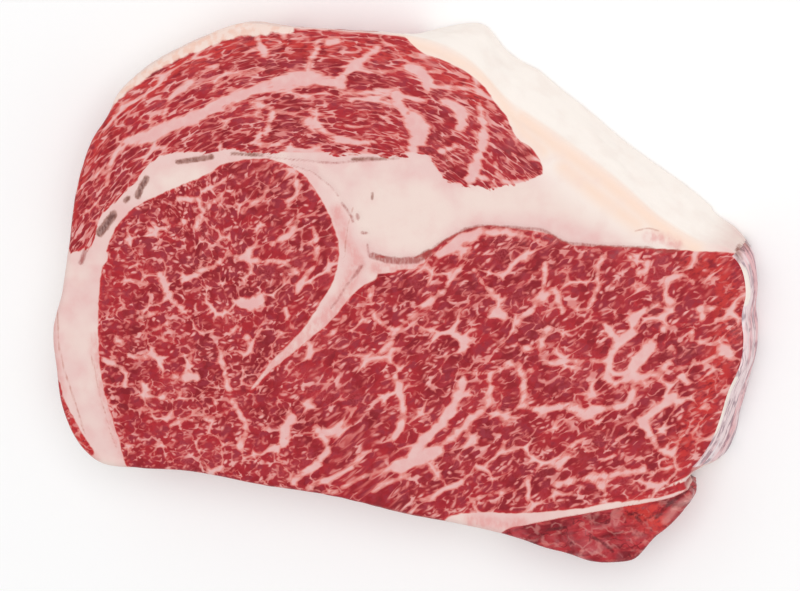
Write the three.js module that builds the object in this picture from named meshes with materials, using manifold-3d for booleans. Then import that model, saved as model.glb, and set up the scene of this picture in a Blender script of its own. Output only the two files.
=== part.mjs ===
// A raw ribeye steak, cut about an inch thick and lying flat on its underside.
// Millimetres, +X along the steak's length, +Y across it towards the fat cap, +Z up.
//
// The whole slice is one closed surface. The knife ran straight through every layer, so each
// muscle is the part of the slice that stands on its own closed line, and the fat is the rest.

import * as THREE from 'three';
import { ParametricGeometry } from 'three/addons/geometries/ParametricGeometry.js';
import { mergeVertices } from 'three/addons/utils/BufferGeometryUtils.js';
import Module from 'manifold-3d';

const wasm = await Module();
wasm.setup();

// ---- driving dimensions -------------------------------------------------------------------

const THICKNESS = 25;        // an inch, from the board to the cut face
const TOP_RADIUS = 1.6;      // soft edge round the cut face
const FOOT_RADIUS = 2.4;     // rounder edge underneath, where the meat settles
const WALL_BULGE = 0.9;      // how far the wall swells at half height
const CROWN = 0.9;           // how far the cut face falls from its middle to its edge
const LAYER_GAP = 0.3;       // clearance between two layers
const SKIN_WIDTH = 1.7;      // thickness of the silverskin on the right wall
const STRIP_DROP = 3.4;      // how far the loose rib strip sags below the cut face
const STRIP_FOLD = 0.8;      // height of the folds across the strip
const FOLD_LENGTH = 13;      // from one fold of the strip to the next
const OVERHANG = 2;          // how far a cutting shape stands out past both faces

const AROUND = 116;          // steps round the slice
const LINE_STEPS = 84;       // steps round each layer's line

// ---- the lines that the knife shows ---------------------------------------------------------

// The middle that the slice's rings shrink to.
const HEART = new THREE.Vector2(4.7, 4.6);

// The inner lines were drawn as if seen from endlessly far away, square to a lens that leans from
// upright by this share towards +X and as much towards +Y. It stood LENS_AWAY from the cut face.
const LENS_AXIS = new THREE.Vector2(3.4, 2.7);
const LENS_LEAN = 0.183;
const LENS_AWAY = 900;

/** A drawn place where it really is: what is nearer to the lens looks larger, so it moves in. */
function trued([x, y]) {
  const [acrossX, acrossY] = [x - LENS_AXIS.x, y - LENS_AXIS.y];
  const share = 1 - (LENS_LEAN * (acrossX + acrossY)) / LENS_AWAY;
  return [LENS_AXIS.x + share * acrossX, LENS_AXIS.y + share * acrossY];
}

// Where the upper side of the rib strip begins, and how steeply it climbs to the right.
const STRIP_ROOT = new THREE.Vector2(33, -62);
const STRIP_SLOPE = 0.24;

// Round the slice, anticlockwise from the right. The third value is the flare: how much further
// out the wall stands at the board than at the cut face, widest along the slanting fat cap.
const SLICE = [
  // silverskin side, upwards to the corner of the fat cap
  [84.6, -42.6, 3.6], [86.8, -39.4, 6.0], [89.9, -34.4, 5.4], [92.4, -28.4, 3.8],
  [94.6, -20.6, 3.6], [98.1, -12.6, 1.7], [98.9, -5.6, 1.1], [98.3, 0.2, 1.1],
  [99.5, 7.0, -0.3], [97.6, 14.6, 0.6], [92.8, 19.0, 2.0],
  // slanting fat cap
  [84.6, 20.3, 7.0], [74.3, 26.3, 8.6], [60.7, 38.0, 6.5], [46.8, 47.9, 7.5],
  [32.9, 56.8, 9.0], [26.4, 64.0, 6.0], [19.9, 69.0, 7.6], [12.4, 72.6, 1.7],
  // thin fat over the cap muscle
  [4.0, 74.2, -3.4], [-8.0, 75.0, -4.2], [-26.0, 75.7, -4.0], [-40.0, 76.3, -3.2],
  [-52.7, 71.2, -1.6], [-64.2, 64.9, -0.4], [-74.0, 56.9, 0],
  // upper left shoulder, down the fat of the left side
  [-77.7, 49.8, 0], [-82.3, 42.8, 0], [-87.0, 28.4, 0], [-89.3, 12.8, 0], [-91.4, 1.0, 0],
  [-94.1, -10.4, 0], [-93.5, -21.6, 0], [-91.9, -32.3, 0], [-88.2, -41.5, 0], [-81.2, -47.9, 0],
  // lower edge, mostly lean
  [-70.1, -49.0, 0], [-54.1, -49.4, 0], [-36.9, -52.0, 0], [-14.2, -54.6, 0],
  [5.8, -58.6, 0], [21.8, -60.9, 0], [35.4, -63.6, 0],
  // belly and tip of the rib strip, and the notch above it
  [47.1, -67.3, 0], [58.3, -69.9, -0.4], [68.4, -69.2, -2.4], [75.2, -62.2, -3.4],
  [81.6, -55.9, -3.0], [85.0, -49.3, -1.4], [83.0, -46.6, -2.0], [83.4, -44.8, 0.4],
];

// Crescent of the cap muscle. On the left it runs out past the slice, so its lean shows there.
const CAP_MUSCLE = [
  [44.0, 39.0], [41.6, 44.0], [36.8, 47.6], [33.8, 53.2], [30.4, 57.6], [27.4, 61.8], [22.2, 65.6],
  [14.6, 68.9], [4.0, 71.4], [-7.2, 73.0], [-21.3, 74.6], [-32.6, 75.0], [-44.5, 71.9],
  [-52.6, 68.0], [-63.4, 61.4], [-71.0, 55.4], [-78.0, 49.6], [-86.0, 43.0], [-91.0, 28.0],
  [-94.0, 14.0], [-84.8, 12.9], [-80.8, 18.6], [-75.2, 26.0], [-70.3, 30.4], [-62.6, 39.2],
  [-52.2, 40.8], [-43.1, 41.8], [-28.2, 41.6], [-14.1, 42.0], [2.2, 42.0], [11.7, 42.6],
  [15.4, 37.6], [19.2, 34.8], [25.8, 34.6], [33.2, 33.4], [41.4, 34.8],
].map(trued);

// The eye: the round muscle on the left and the long one on the right, grown together below
// the wedge of fat that comes down between them. Its line runs out past the slice below, where
// the lean shows in the wall, and on the right, where the silverskin covers it.
const EYE_MUSCLE = [
  // upper side of the long muscle, from the right
  [97.0, 17.4], [86.3, 18.0], [73.6, 18.3], [60.9, 18.5], [51.5, 18.8], [46.2, 21.2],
  [35.4, 22.8], [27.1, 23.0], [19.4, 20.2], [12.2, 15.4], [5.3, 12.6], [-2.2, 13.6],
  // down the right side of the wedge and up its left
  [-1.6, 8.0], [-5.6, 5.4], [-10.2, 1.0], [-13.6, -3.6], [-22.6, -11.8], [-32.4, -20.2],
  [-38.0, -26.4], [-31.0, -16.4], [-22.6, -7.6], [-17.6, 0.2], [-13.9, 6.8],
  // round muscle
  [-12.3, 15.2], [-14.1, 22.3], [-17.7, 29.7], [-22.8, 35.9], [-29.6, 39.0], [-35.4, 39.4],
  [-44.5, 37.4], [-49.5, 34.2], [-58.0, 30.4], [-70.2, 23.6], [-75.2, 16.6], [-77.8, 8.0],
  [-78.9, -1.0], [-78.9, -12.0], [-78.5, -20.0], [-76.8, -28.0], [-73.6, -38.6], [-69.4, -50.0],
  // below the slice, then back in along the rib strip's membrane
  [-54.0, -54.0], [-36.7, -56.0], [-14.0, -59.0], [4.0, -62.5], [14.2, -61.5], [18.6, -57.4],
  [39.9, -55.8], [54.2, -54.0], [64.8, -51.6], [75.3, -48.6], [82.0, -45.2],
  // right of the slice
  [90.0, -41.0], [101.0, -22.0], [106.0, -2.0], [106.0, 12.0],
].map(trued);

// The rib strip lies below the membrane under the eye.
const RIB_STRIP = [
  [92.0, -46.0], [85.2, -47.6], [79.4, -50.4], [64.8, -53.6], [54.2, -55.8], [39.9, -59.2],
  [33.6, -61.0], [30.0, -66.0], [45.0, -74.0], [66.0, -76.0], [84.0, -66.0], [94.0, -54.0],
].map(trued);

// Reach of the membrane, whose sides are then cut by the eye and the rib strip.
const RIB_SEAM = [
  [84.0, -41.6], [78.0, -43.0], [54.0, -49.0], [20.0, -52.0], [11.6, -56.0], [16.0, -66.0],
  [33.0, -68.0], [40.0, -64.0], [56.0, -60.0], [78.0, -55.0], [88.0, -50.0], [90.0, -43.6],
].map(trued);

// Reach of the silverskin: the right wall, from the notch up to the root of the fat cap.
const SKIN_REACH = [
  [106.0, 22.0], [98.6, 18.4], [96.0, 16.6], [93.0, 8.0], [90.0, -8.0], [86.0, -22.0],
  [80.0, -36.0], [85.4, -41.8], [95.0, -42.0], [106.0, -22.0], [110.0, 4.0],
].map(trued);

const FINISHES = {
  fat: { color: 0xf3dfd0, roughness: 0.5 },
  cap_muscle: { color: 0xb03040, roughness: 0.45 },
  eye_muscle: { color: 0xa82a38, roughness: 0.45 },
  rib_seam: { color: 0xecccc4, roughness: 0.4 },
  rib_strip: { color: 0x98222e, roughness: 0.35 },
  silverskin: { color: 0xdcc0c2, roughness: 0.35 },
};

// ---- the slice --------------------------------------------------------------------------------

/** Closed smooth line through the points; a third value, where given, is carried in z. */
function closedLine(points) {
  const corners = points.map(([x, y, carried = 0]) => new THREE.Vector3(x, y, carried));
  return new THREE.CatmullRomCurve3(corners, true, 'centripetal');
}

/** Point and outward normal of an anticlockwise line at u, from 0 to 1 round it. */
function alongLine(line, u) {
  const point = line.getPoint(u % 1);
  const tangent = line.getTangent(u % 1);
  const normal = new THREE.Vector2(tangent.y, -tangent.x).normalize();
  return { point, normal };
}

/** How far a quarter round of this radius has drawn in, at a depth below the end it rounds. */
function roundedBy(radius, depth) {
  const left = Math.max(0, radius - depth);
  return radius - Math.sqrt(radius * radius - left * left);
}

/**
 * Height of the cut face at (x, y); share is 0 in the middle of the slice and 1 at its rim. The
 * face sags below the rib strip's upper side, more and more along the strip to its loose tip.
 */
function faceHeight(x, y, share) {
  const { smoothstep } = THREE.MathUtils;
  const along = x - STRIP_ROOT.x;
  const below = STRIP_ROOT.y + STRIP_SLOPE * along - y;
  const onStrip = smoothstep(below, -1.5, 4.5) * smoothstep(along, 1, 17);
  const sag = STRIP_DROP * (0.5 + 0.5 * smoothstep(along, 29, 51));
  const fold = STRIP_FOLD * Math.sin((2 * Math.PI * (x + 0.6 * y)) / FOLD_LENGTH);
  return THICKNESS - CROWN * share ** 4 - onStrip * (sag - fold);
}

// Stations from the middle of the underside, up the wall, to the middle of the cut face. level
// runs up the wall from 0 to 1, and share runs from the middle (0) out to the rim (1).
const STATIONS = [
  ...[0, 0.45, 0.8].map((share) => ({ share, level: 0 })),
  ...[0, 0.025, 0.096, 0.36, 0.66, 0.936, 0.972, 0.992, 1].map((level) => ({ share: 1, level })),
  ...[0.95, 0.88, 0.79, 0.68, 0.54, 0.38, 0.2, 0].map((share) => ({ share, level: 1 })),
];

/**
 * The slice as one closed surface: u runs round the rim and v along the stations. inset draws
 * the wall in, and a cutting shape with straight ends stands out past both faces by overhang.
 */
function sliceSolid(inset = 0, overhang = 0) {
  const line = closedLine(SLICE);
  const surface = (u, v, target) => {
    const { share, level } = STATIONS[Math.round(v * (STATIONS.length - 1))];
    const { point, normal } = alongLine(line, u);
    const height = level * THICKNESS;
    const round = roundedBy(TOP_RADIUS, THICKNESS - height) + roundedBy(FOOT_RADIUS, height);
    const swell = WALL_BULGE * Math.sin(Math.PI * level);
    const out = point.z * (1 - level) + swell - inset - (overhang ? 0 : round);
    const x = HEART.x + share * (point.x + out * normal.x - HEART.x);
    const y = HEART.y + share * (point.y + out * normal.y - HEART.y);
    const z = overhang ? height + overhang * (2 * level - 1) : level * faceHeight(x, y, share);
    target.set(x, y, z);
  };
  return solidFrom(new ParametricGeometry(surface, AROUND, STATIONS.length - 1));
}

// ---- solids -----------------------------------------------------------------------------------

/** A manifold solid from a closed geometry, with doubled vertices joined and slivers dropped. */
function solidFrom(geometry) {
  geometry.deleteAttribute('normal');
  geometry.deleteAttribute('uv');
  const merged = mergeVertices(geometry, 1e-4);
  const index = merged.index.array;
  const triVerts = [];
  for (let i = 0; i < index.length; i += 3) {
    const [a, b, c] = [index[i], index[i + 1], index[i + 2]];
    if (a !== b && b !== c && c !== a) triVerts.push(a, b, c);
  }
  return new wasm.Manifold(new wasm.Mesh({
    numProp: 3,
    vertProperties: new Float32Array(merged.attributes.position.array),
    triVerts: new Uint32Array(triVerts),
  }));
}

/** A prism taller than the slice, on an anticlockwise line that is moved out by grow. */
function column(points, grow = 0) {
  const line = closedLine(points);
  const corners = [];
  for (let i = 0; i < LINE_STEPS; i += 1) {
    const { point, normal } = alongLine(line, i / LINE_STEPS);
    corners.push(new THREE.Vector2(point.x + grow * normal.x, point.y + grow * normal.y));
  }
  const prism = new THREE.ExtrudeGeometry(new THREE.Shape(corners), {
    depth: THICKNESS + 2 * OVERHANG,
    bevelEnabled: false,
  });
  return solidFrom(prism.translate(0, 0, -OVERHANG));
}

/** A named mesh with the finish of its layer, from the largest body of a cut solid. */
function layer(name, cut) {
  const [body] = cut.decompose().sort((a, b) => b.volume() - a.volume());
  const { vertProperties, triVerts } = body.getMesh();
  const geometry = new THREE.BufferGeometry();
  geometry.setAttribute('position', new THREE.BufferAttribute(vertProperties, 3));
  geometry.setIndex(new THREE.BufferAttribute(triVerts, 1));
  geometry.computeVertexNormals();
  const mesh = new THREE.Mesh(geometry, new THREE.MeshStandardMaterial(FINISHES[name]));
  mesh.name = name;
  return mesh;
}

// ---- layers -------------------------------------------------------------------------------------

const slice = sliceSolid();

/** The right wall's skin, as thick as SKIN_WIDTH and grown by a clearance for its neighbours. */
const skin = (grow) => column(SKIN_REACH, grow).subtract(sliceSolid(SKIN_WIDTH + grow, OVERHANG));

const layers = {
  cap_muscle: slice.intersect(column(CAP_MUSCLE)),
  eye_muscle: slice.intersect(column(EYE_MUSCLE)).subtract(skin(LAYER_GAP)),
  rib_strip: slice.intersect(column(RIB_STRIP)),
  silverskin: slice.intersect(skin(0)),
};
layers.rib_seam = slice.intersect(column(RIB_SEAM))
  .subtract(column(EYE_MUSCLE, LAYER_GAP))
  .subtract(column(RIB_STRIP, LAYER_GAP))
  .subtract(column(SKIN_REACH, LAYER_GAP));
layers.fat = slice
  .subtract(column(CAP_MUSCLE, LAYER_GAP))
  .subtract(column(EYE_MUSCLE, LAYER_GAP))
  .subtract(column(RIB_STRIP, LAYER_GAP))
  .subtract(column(RIB_SEAM, LAYER_GAP))
  .subtract(column(SKIN_REACH, LAYER_GAP));

const steak = new THREE.Group();
Object.entries(layers).forEach(([name, cut]) => steak.add(layer(name, cut)));

// The frame's origin is under the middle of the whole steak, on the board.
const box = new THREE.Box3().setFromObject(steak);
const middle = box.getCenter(new THREE.Vector3());
steak.children.forEach((mesh) => mesh.geometry.translate(-middle.x, -middle.y, -box.min.z));

export default steak;
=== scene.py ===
# %% [markdown]
# A raw ribeye steak, cut an inch thick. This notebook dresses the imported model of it: six solids,
# one for each layer that the knife cut through. All of them are parts of one slice, so the slice
# is modelled once, finely, and then cut along the same lines as the solids. Every finish is worked
# out from the place on the meat, so a vein or a stain runs on from one piece to the next.

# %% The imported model
import math

import bpy
import numpy as np
from mathutils import Matrix, Vector


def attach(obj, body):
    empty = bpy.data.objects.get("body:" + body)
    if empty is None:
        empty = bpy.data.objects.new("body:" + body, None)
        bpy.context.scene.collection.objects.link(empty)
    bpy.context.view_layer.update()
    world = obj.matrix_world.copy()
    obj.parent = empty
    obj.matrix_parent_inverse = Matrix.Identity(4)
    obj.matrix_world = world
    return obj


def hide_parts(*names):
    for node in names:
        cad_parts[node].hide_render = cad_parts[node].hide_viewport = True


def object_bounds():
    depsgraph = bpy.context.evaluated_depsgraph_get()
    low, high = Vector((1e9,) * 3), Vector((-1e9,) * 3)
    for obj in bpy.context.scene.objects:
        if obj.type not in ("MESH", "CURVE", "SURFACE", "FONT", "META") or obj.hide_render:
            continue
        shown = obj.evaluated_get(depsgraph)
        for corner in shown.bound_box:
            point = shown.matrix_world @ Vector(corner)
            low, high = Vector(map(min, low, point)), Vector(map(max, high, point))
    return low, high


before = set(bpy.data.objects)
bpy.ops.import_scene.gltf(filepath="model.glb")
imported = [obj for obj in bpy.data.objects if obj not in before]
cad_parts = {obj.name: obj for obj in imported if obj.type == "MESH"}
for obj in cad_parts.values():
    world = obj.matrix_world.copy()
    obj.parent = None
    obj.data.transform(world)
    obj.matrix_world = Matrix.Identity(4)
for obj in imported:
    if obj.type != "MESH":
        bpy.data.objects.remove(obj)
cad_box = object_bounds()
MM = 0.001
print("the steak measures", [round((hi - lo) / MM, 1) for lo, hi in zip(*cad_box)], "mm")

# %% [markdown]
# The steak is seen from almost straight above, 15 degrees off towards its fat cap, so a strip of
# the wall shows at the upper right. The lens is long and far off, so the slice hardly tapers. The
# camera slides a few millimetres sideways to put the steak where it belongs in the picture.

# %% The camera
IMAGE_WIDTH = 800            # pixels
SENSOR = 36.0                # mm
AZIMUTH, ELEVATION = math.radians(135), math.radians(75)
DISTANCE = 0.9               # m, from the middle of the steak
SCALE = 3635.0               # pixels to a metre at that distance
AIM_SHIFT = (-1.2, -7.5)     # pixels, from the steak's middle to the middle of the picture
VIEW_END = 20                # m


def make_camera():
    """Camera on the line back from the steak's middle, its up side nearest to the +Y axis."""
    back = Vector((math.sin(AZIMUTH) * math.cos(ELEVATION),
                   -math.cos(AZIMUTH) * math.cos(ELEVATION), math.sin(ELEVATION)))
    right = Vector((0, 1, 0)).cross(back).normalized()
    up = back.cross(right)
    middle = Vector([(lo + hi) / 2 for lo, hi in zip(*cad_box)])
    aim = middle + (AIM_SHIFT[0] * right + AIM_SHIFT[1] * up) / SCALE
    data = bpy.data.cameras.new("camera")
    data.sensor_width = SENSOR
    data.lens = SCALE * DISTANCE * SENSOR / IMAGE_WIDTH
    data.clip_end = VIEW_END
    camera = bpy.data.objects.new("camera", data)
    turn = Matrix((right, up, back)).transposed().to_4x4()
    camera.matrix_world = Matrix.Translation(aim + DISTANCE * back) @ turn
    bpy.context.scene.collection.objects.link(camera)
    bpy.context.scene.camera = camera
    return camera


print("lens", round(make_camera().data.lens, 1), "mm")

# %% [markdown]
# The slice is drawn with few points, in millimetres on the cut face, and a smooth closed curve
# runs through them. The third number is the flare: how much further out the wall stands at the
# board than at the cut face. The muscles are drawn the same way. Their lines run out past the
# slice wherever lean shows in the wall.

# %% Lines of the slice and its layers
HEART = np.array([4.7, 4.6])  # mm, the middle that the cut face's net is stretched from
AXIS = np.array([3.4, 2.7])  # mm, where the lens aims
LENS_LEAN = 0.183            # how far the lens leans from upright, towards +X and towards +Y
LENS_AWAY = 900.0            # mm


def trued(points):
    """The inner lines were drawn as if seen from endlessly far. What is nearer to the lens looks
    larger, so each place moves in to the axis by its lean over the lens's distance."""
    out = np.asarray(points, float) - AXIS
    return AXIS + out * (1 - LENS_LEAN * out.sum(1, keepdims=True) / LENS_AWAY)


SLICE = [
    (84.6, -42.6, 3.6), (86.8, -39.4, 6.0), (89.9, -34.4, 5.4), (92.4, -28.4, 3.8),
    (94.6, -20.6, 3.6), (98.1, -12.6, 1.7), (98.9, -5.6, 1.1), (98.3, 0.2, 1.1),
    (99.5, 7.0, -0.3), (97.6, 14.6, 0.6), (92.8, 19.0, 2.0), (84.6, 20.3, 7.0),
    (74.3, 26.3, 8.6), (60.7, 38.0, 6.5), (46.8, 47.9, 7.5), (32.9, 56.8, 9.0),
    (26.4, 64.0, 6.0), (19.9, 69.0, 7.6), (12.4, 72.6, 1.7), (4.0, 74.2, -3.4),
    (-8.0, 75.0, -4.2), (-26.0, 75.7, -4.0), (-40.0, 76.3, -3.2), (-52.7, 71.2, -1.6),
    (-64.2, 64.9, -0.4), (-74.0, 56.9, 0), (-77.7, 49.8, 0), (-82.3, 42.8, 0),
    (-87.0, 28.4, 0), (-89.3, 12.8, 0), (-91.4, 1.0, 0), (-94.1, -10.4, 0),
    (-93.5, -21.6, 0), (-91.9, -32.3, 0), (-88.2, -41.5, 0), (-81.2, -47.9, 0),
    (-70.1, -49.0, 0), (-54.1, -49.4, 0), (-36.9, -52.0, 0), (-14.2, -54.6, 0),
    (5.8, -58.6, 0), (21.8, -60.9, 0), (35.4, -63.6, 0), (47.1, -67.3, 0),
    (58.3, -69.9, -0.4), (68.4, -69.2, -2.4), (75.2, -62.2, -3.4), (81.6, -55.9, -3.0),
    (85.0, -49.3, -1.4), (83.0, -46.6, -2.0), (83.4, -44.8, 0.4),
]
CAP_MUSCLE = trued([
    (44.0, 39.0), (41.6, 44.0), (36.8, 47.6), (33.8, 53.2), (30.4, 57.6), (27.4, 61.8),
    (22.2, 65.6), (14.6, 68.9), (4.0, 71.4), (-7.2, 73.0), (-21.3, 74.6), (-32.6, 75.0),
    (-44.5, 71.9), (-52.6, 68.0), (-63.4, 61.4), (-71.0, 55.4), (-78.0, 49.6), (-86.0, 43.0),
    (-91.0, 28.0), (-94.0, 14.0), (-84.8, 12.9), (-80.8, 18.6), (-75.2, 26.0), (-70.3, 30.4),
    (-62.6, 39.2), (-52.2, 40.8), (-43.1, 41.8), (-28.2, 41.6), (-14.1, 42.0), (2.2, 42.0),
    (11.7, 42.6), (15.4, 37.6), (19.2, 34.8), (25.8, 34.6), (33.2, 33.4), (41.4, 34.8),
])
EYE_MUSCLE = trued([
    (97.0, 17.4), (86.3, 18.0), (73.6, 18.3), (60.9, 18.5), (51.5, 18.8), (46.2, 21.2),
    (35.4, 22.8), (27.1, 23.0), (19.4, 20.2), (12.2, 15.4), (5.3, 12.6), (-2.2, 13.6),
    (-1.6, 8.0), (-5.6, 5.4), (-10.2, 1.0), (-13.6, -3.6), (-22.6, -11.8), (-32.4, -20.2),
    (-38.0, -26.4), (-31.0, -16.4), (-22.6, -7.6), (-17.6, 0.2), (-13.9, 6.8), (-12.3, 15.2),
    (-14.1, 22.3), (-17.7, 29.7), (-22.8, 35.9), (-29.6, 39.0), (-35.4, 39.4), (-44.5, 37.4),
    (-49.5, 34.2), (-58.0, 30.4), (-70.2, 23.6), (-75.2, 16.6), (-77.8, 8.0), (-78.9, -1.0),
    (-78.9, -12.0), (-78.5, -20.0), (-76.8, -28.0), (-73.6, -38.6), (-69.4, -50.0),
    (-54.0, -54.0), (-36.7, -56.0), (-14.0, -59.0), (4.0, -62.5), (14.2, -61.5), (18.6, -57.4),
    (39.9, -55.8), (54.2, -54.0), (64.8, -51.6), (75.3, -48.6), (82.0, -45.2), (90.0, -41.0),
    (101.0, -22.0), (106.0, -2.0), (106.0, 12.0),
])
RIB_STRIP = trued([
    (92.0, -46.0), (85.2, -47.6), (79.4, -50.4), (64.8, -53.6), (54.2, -55.8), (39.9, -59.2),
    (33.6, -61.0), (30.0, -66.0), (45.0, -74.0), (66.0, -76.0), (84.0, -66.0), (94.0, -54.0),
])
RIB_SEAM = trued([
    (84.0, -41.6), (78.0, -43.0), (54.0, -49.0), (20.0, -52.0), (11.6, -56.0), (16.0, -66.0),
    (33.0, -68.0), (40.0, -64.0), (56.0, -60.0), (78.0, -55.0), (88.0, -50.0), (90.0, -43.6),
])
SKIN_REACH = trued([
    (106.0, 22.0), (98.6, 18.4), (96.0, 16.6), (93.0, 8.0), (90.0, -8.0), (86.0, -22.0),
    (80.0, -36.0), (85.4, -41.8), (95.0, -42.0), (106.0, -22.0), (110.0, 4.0),
])


RIM_STEPS = 24               # points on the rim's curve between two of its drawn points


def closed_curve(points, per):
    """Closed centripetal Catmull-Rom curve: every stretch is the cubic that passes through its
    two points with tangents weighed by the square roots of the three nearest gaps. It gets this
    many points."""
    p1 = np.asarray(points, float)
    p0, p2, p3 = np.roll(p1, 1, 0), np.roll(p1, -1, 0), np.roll(p1, -2, 0)

    def gap(a, b):
        return np.maximum(np.sum((b - a) ** 2, 1) ** 0.25, 1e-4)[:, None]

    g0, g1, g2 = gap(p0, p1), gap(p1, p2), gap(p2, p3)
    start = ((p1 - p0) / g0 - (p2 - p0) / (g0 + g1) + (p2 - p1) / g1) * g1
    end = ((p2 - p1) / g1 - (p3 - p1) / (g1 + g2) + (p3 - p2) / g2) * g1
    t = np.linspace(0, 1, per, endpoint=False)[None, :, None]
    a, b, c, d = p1[:, None], start[:, None], p2[:, None], end[:, None]
    curve = a + b * t + (3 * (c - a) - 2 * b - d) * t ** 2 + (2 * (a - c) + b + d) * t ** 3
    return curve.reshape(-1, p1.shape[1])


rim_curve = closed_curve(SLICE, RIM_STEPS)
print("rim of", len(rim_curve), "points")

# %% [markdown]
# Fields over the drawing hold how far each place is from a line. A field is worked out once on a
# fine square net, and read from there by whatever mesh needs it.

# %% Distance fields
NET_STEP = 0.5               # mm
NET_LOW = np.array([-104.0, -82.0])
NET_SIZE = (430, 336)        # steps along x and y
NET_LINE_STEPS = 6           # points on a line's curve between two of its drawn points
MM2_PER_CM2 = 100
net_x, net_y = np.meshgrid(NET_LOW[0] + NET_STEP * np.arange(NET_SIZE[0]),
                           NET_LOW[1] + NET_STEP * np.arange(NET_SIZE[1]), indexing="ij")
net = np.stack([net_x.ravel(), net_y.ravel()], 1).astype(np.float32)


def segment_distance(starts, ends):
    """Distance from every place of the net to the nearest of the straight stretches: the length
    of the drop from the place onto each stretch, kept between its two ends."""
    starts, ends = np.asarray(starts, np.float32), np.asarray(ends, np.float32)
    run = ends - starts
    length2 = np.maximum((run ** 2).sum(1), 1e-9)
    best = np.full(len(net), np.inf, np.float32)
    for k in range(len(starts)):
        off = net - starts[k]
        share = np.clip(off @ run[k] / length2[k], 0, 1)
        best = np.minimum(best, ((off - share[:, None] * run[k]) ** 2).sum(1))
    return np.sqrt(best)


def inside(corners):
    """Which places of the net a closed line holds: those with an odd count of its sides to
    their right."""
    held = np.zeros(len(net), bool)
    for (x0, y0), (x1, y1) in zip(corners, np.roll(corners, -1, 0)):
        if y0 == y1:
            continue
        crosses = (y0 > net[:, 1]) != (y1 > net[:, 1])
        held ^= crosses & (net[:, 0] < (x1 - x0) * (net[:, 1] - y0) / (y1 - y0) + x0)
    return held


def depth_in(points):
    """How deep a place lies inside a closed curve, negative outside it."""
    corners = closed_curve(points, NET_LINE_STEPS)[:, :2]
    away = segment_distance(corners, np.roll(corners, -1, 0))
    return np.where(inside(corners), away, -away).reshape(NET_SIZE)


def read(field, x, y):
    """A field's value at any places, from the four corners of the net round each of them."""
    u = np.clip((x - NET_LOW[0]) / NET_STEP, 0, NET_SIZE[0] - 1.001)
    v = np.clip((y - NET_LOW[1]) / NET_STEP, 0, NET_SIZE[1] - 1.001)
    i, j = u.astype(int), v.astype(int)
    s, t = u - i, v - j
    return ((field[i, j] * (1 - s) + field[i + 1, j] * s) * (1 - t)
            + (field[i, j + 1] * (1 - s) + field[i + 1, j + 1] * s) * t)


in_slice = depth_in(SLICE)
in_cap = depth_in(CAP_MUSCLE)
in_eye = depth_in(EYE_MUSCLE)
in_strip = depth_in(RIB_STRIP)
in_skin = depth_in(SKIN_REACH)
mesh_area = NET_STEP ** 2 / MM2_PER_CM2
lean_places = (np.maximum(in_cap, in_eye) > 0) & (in_slice > 0)
print("cut face", round(float((in_slice > 0).sum()) * mesh_area), "cm2, of it lean",
      round(float(lean_places.sum()) * mesh_area), "cm2")
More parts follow.
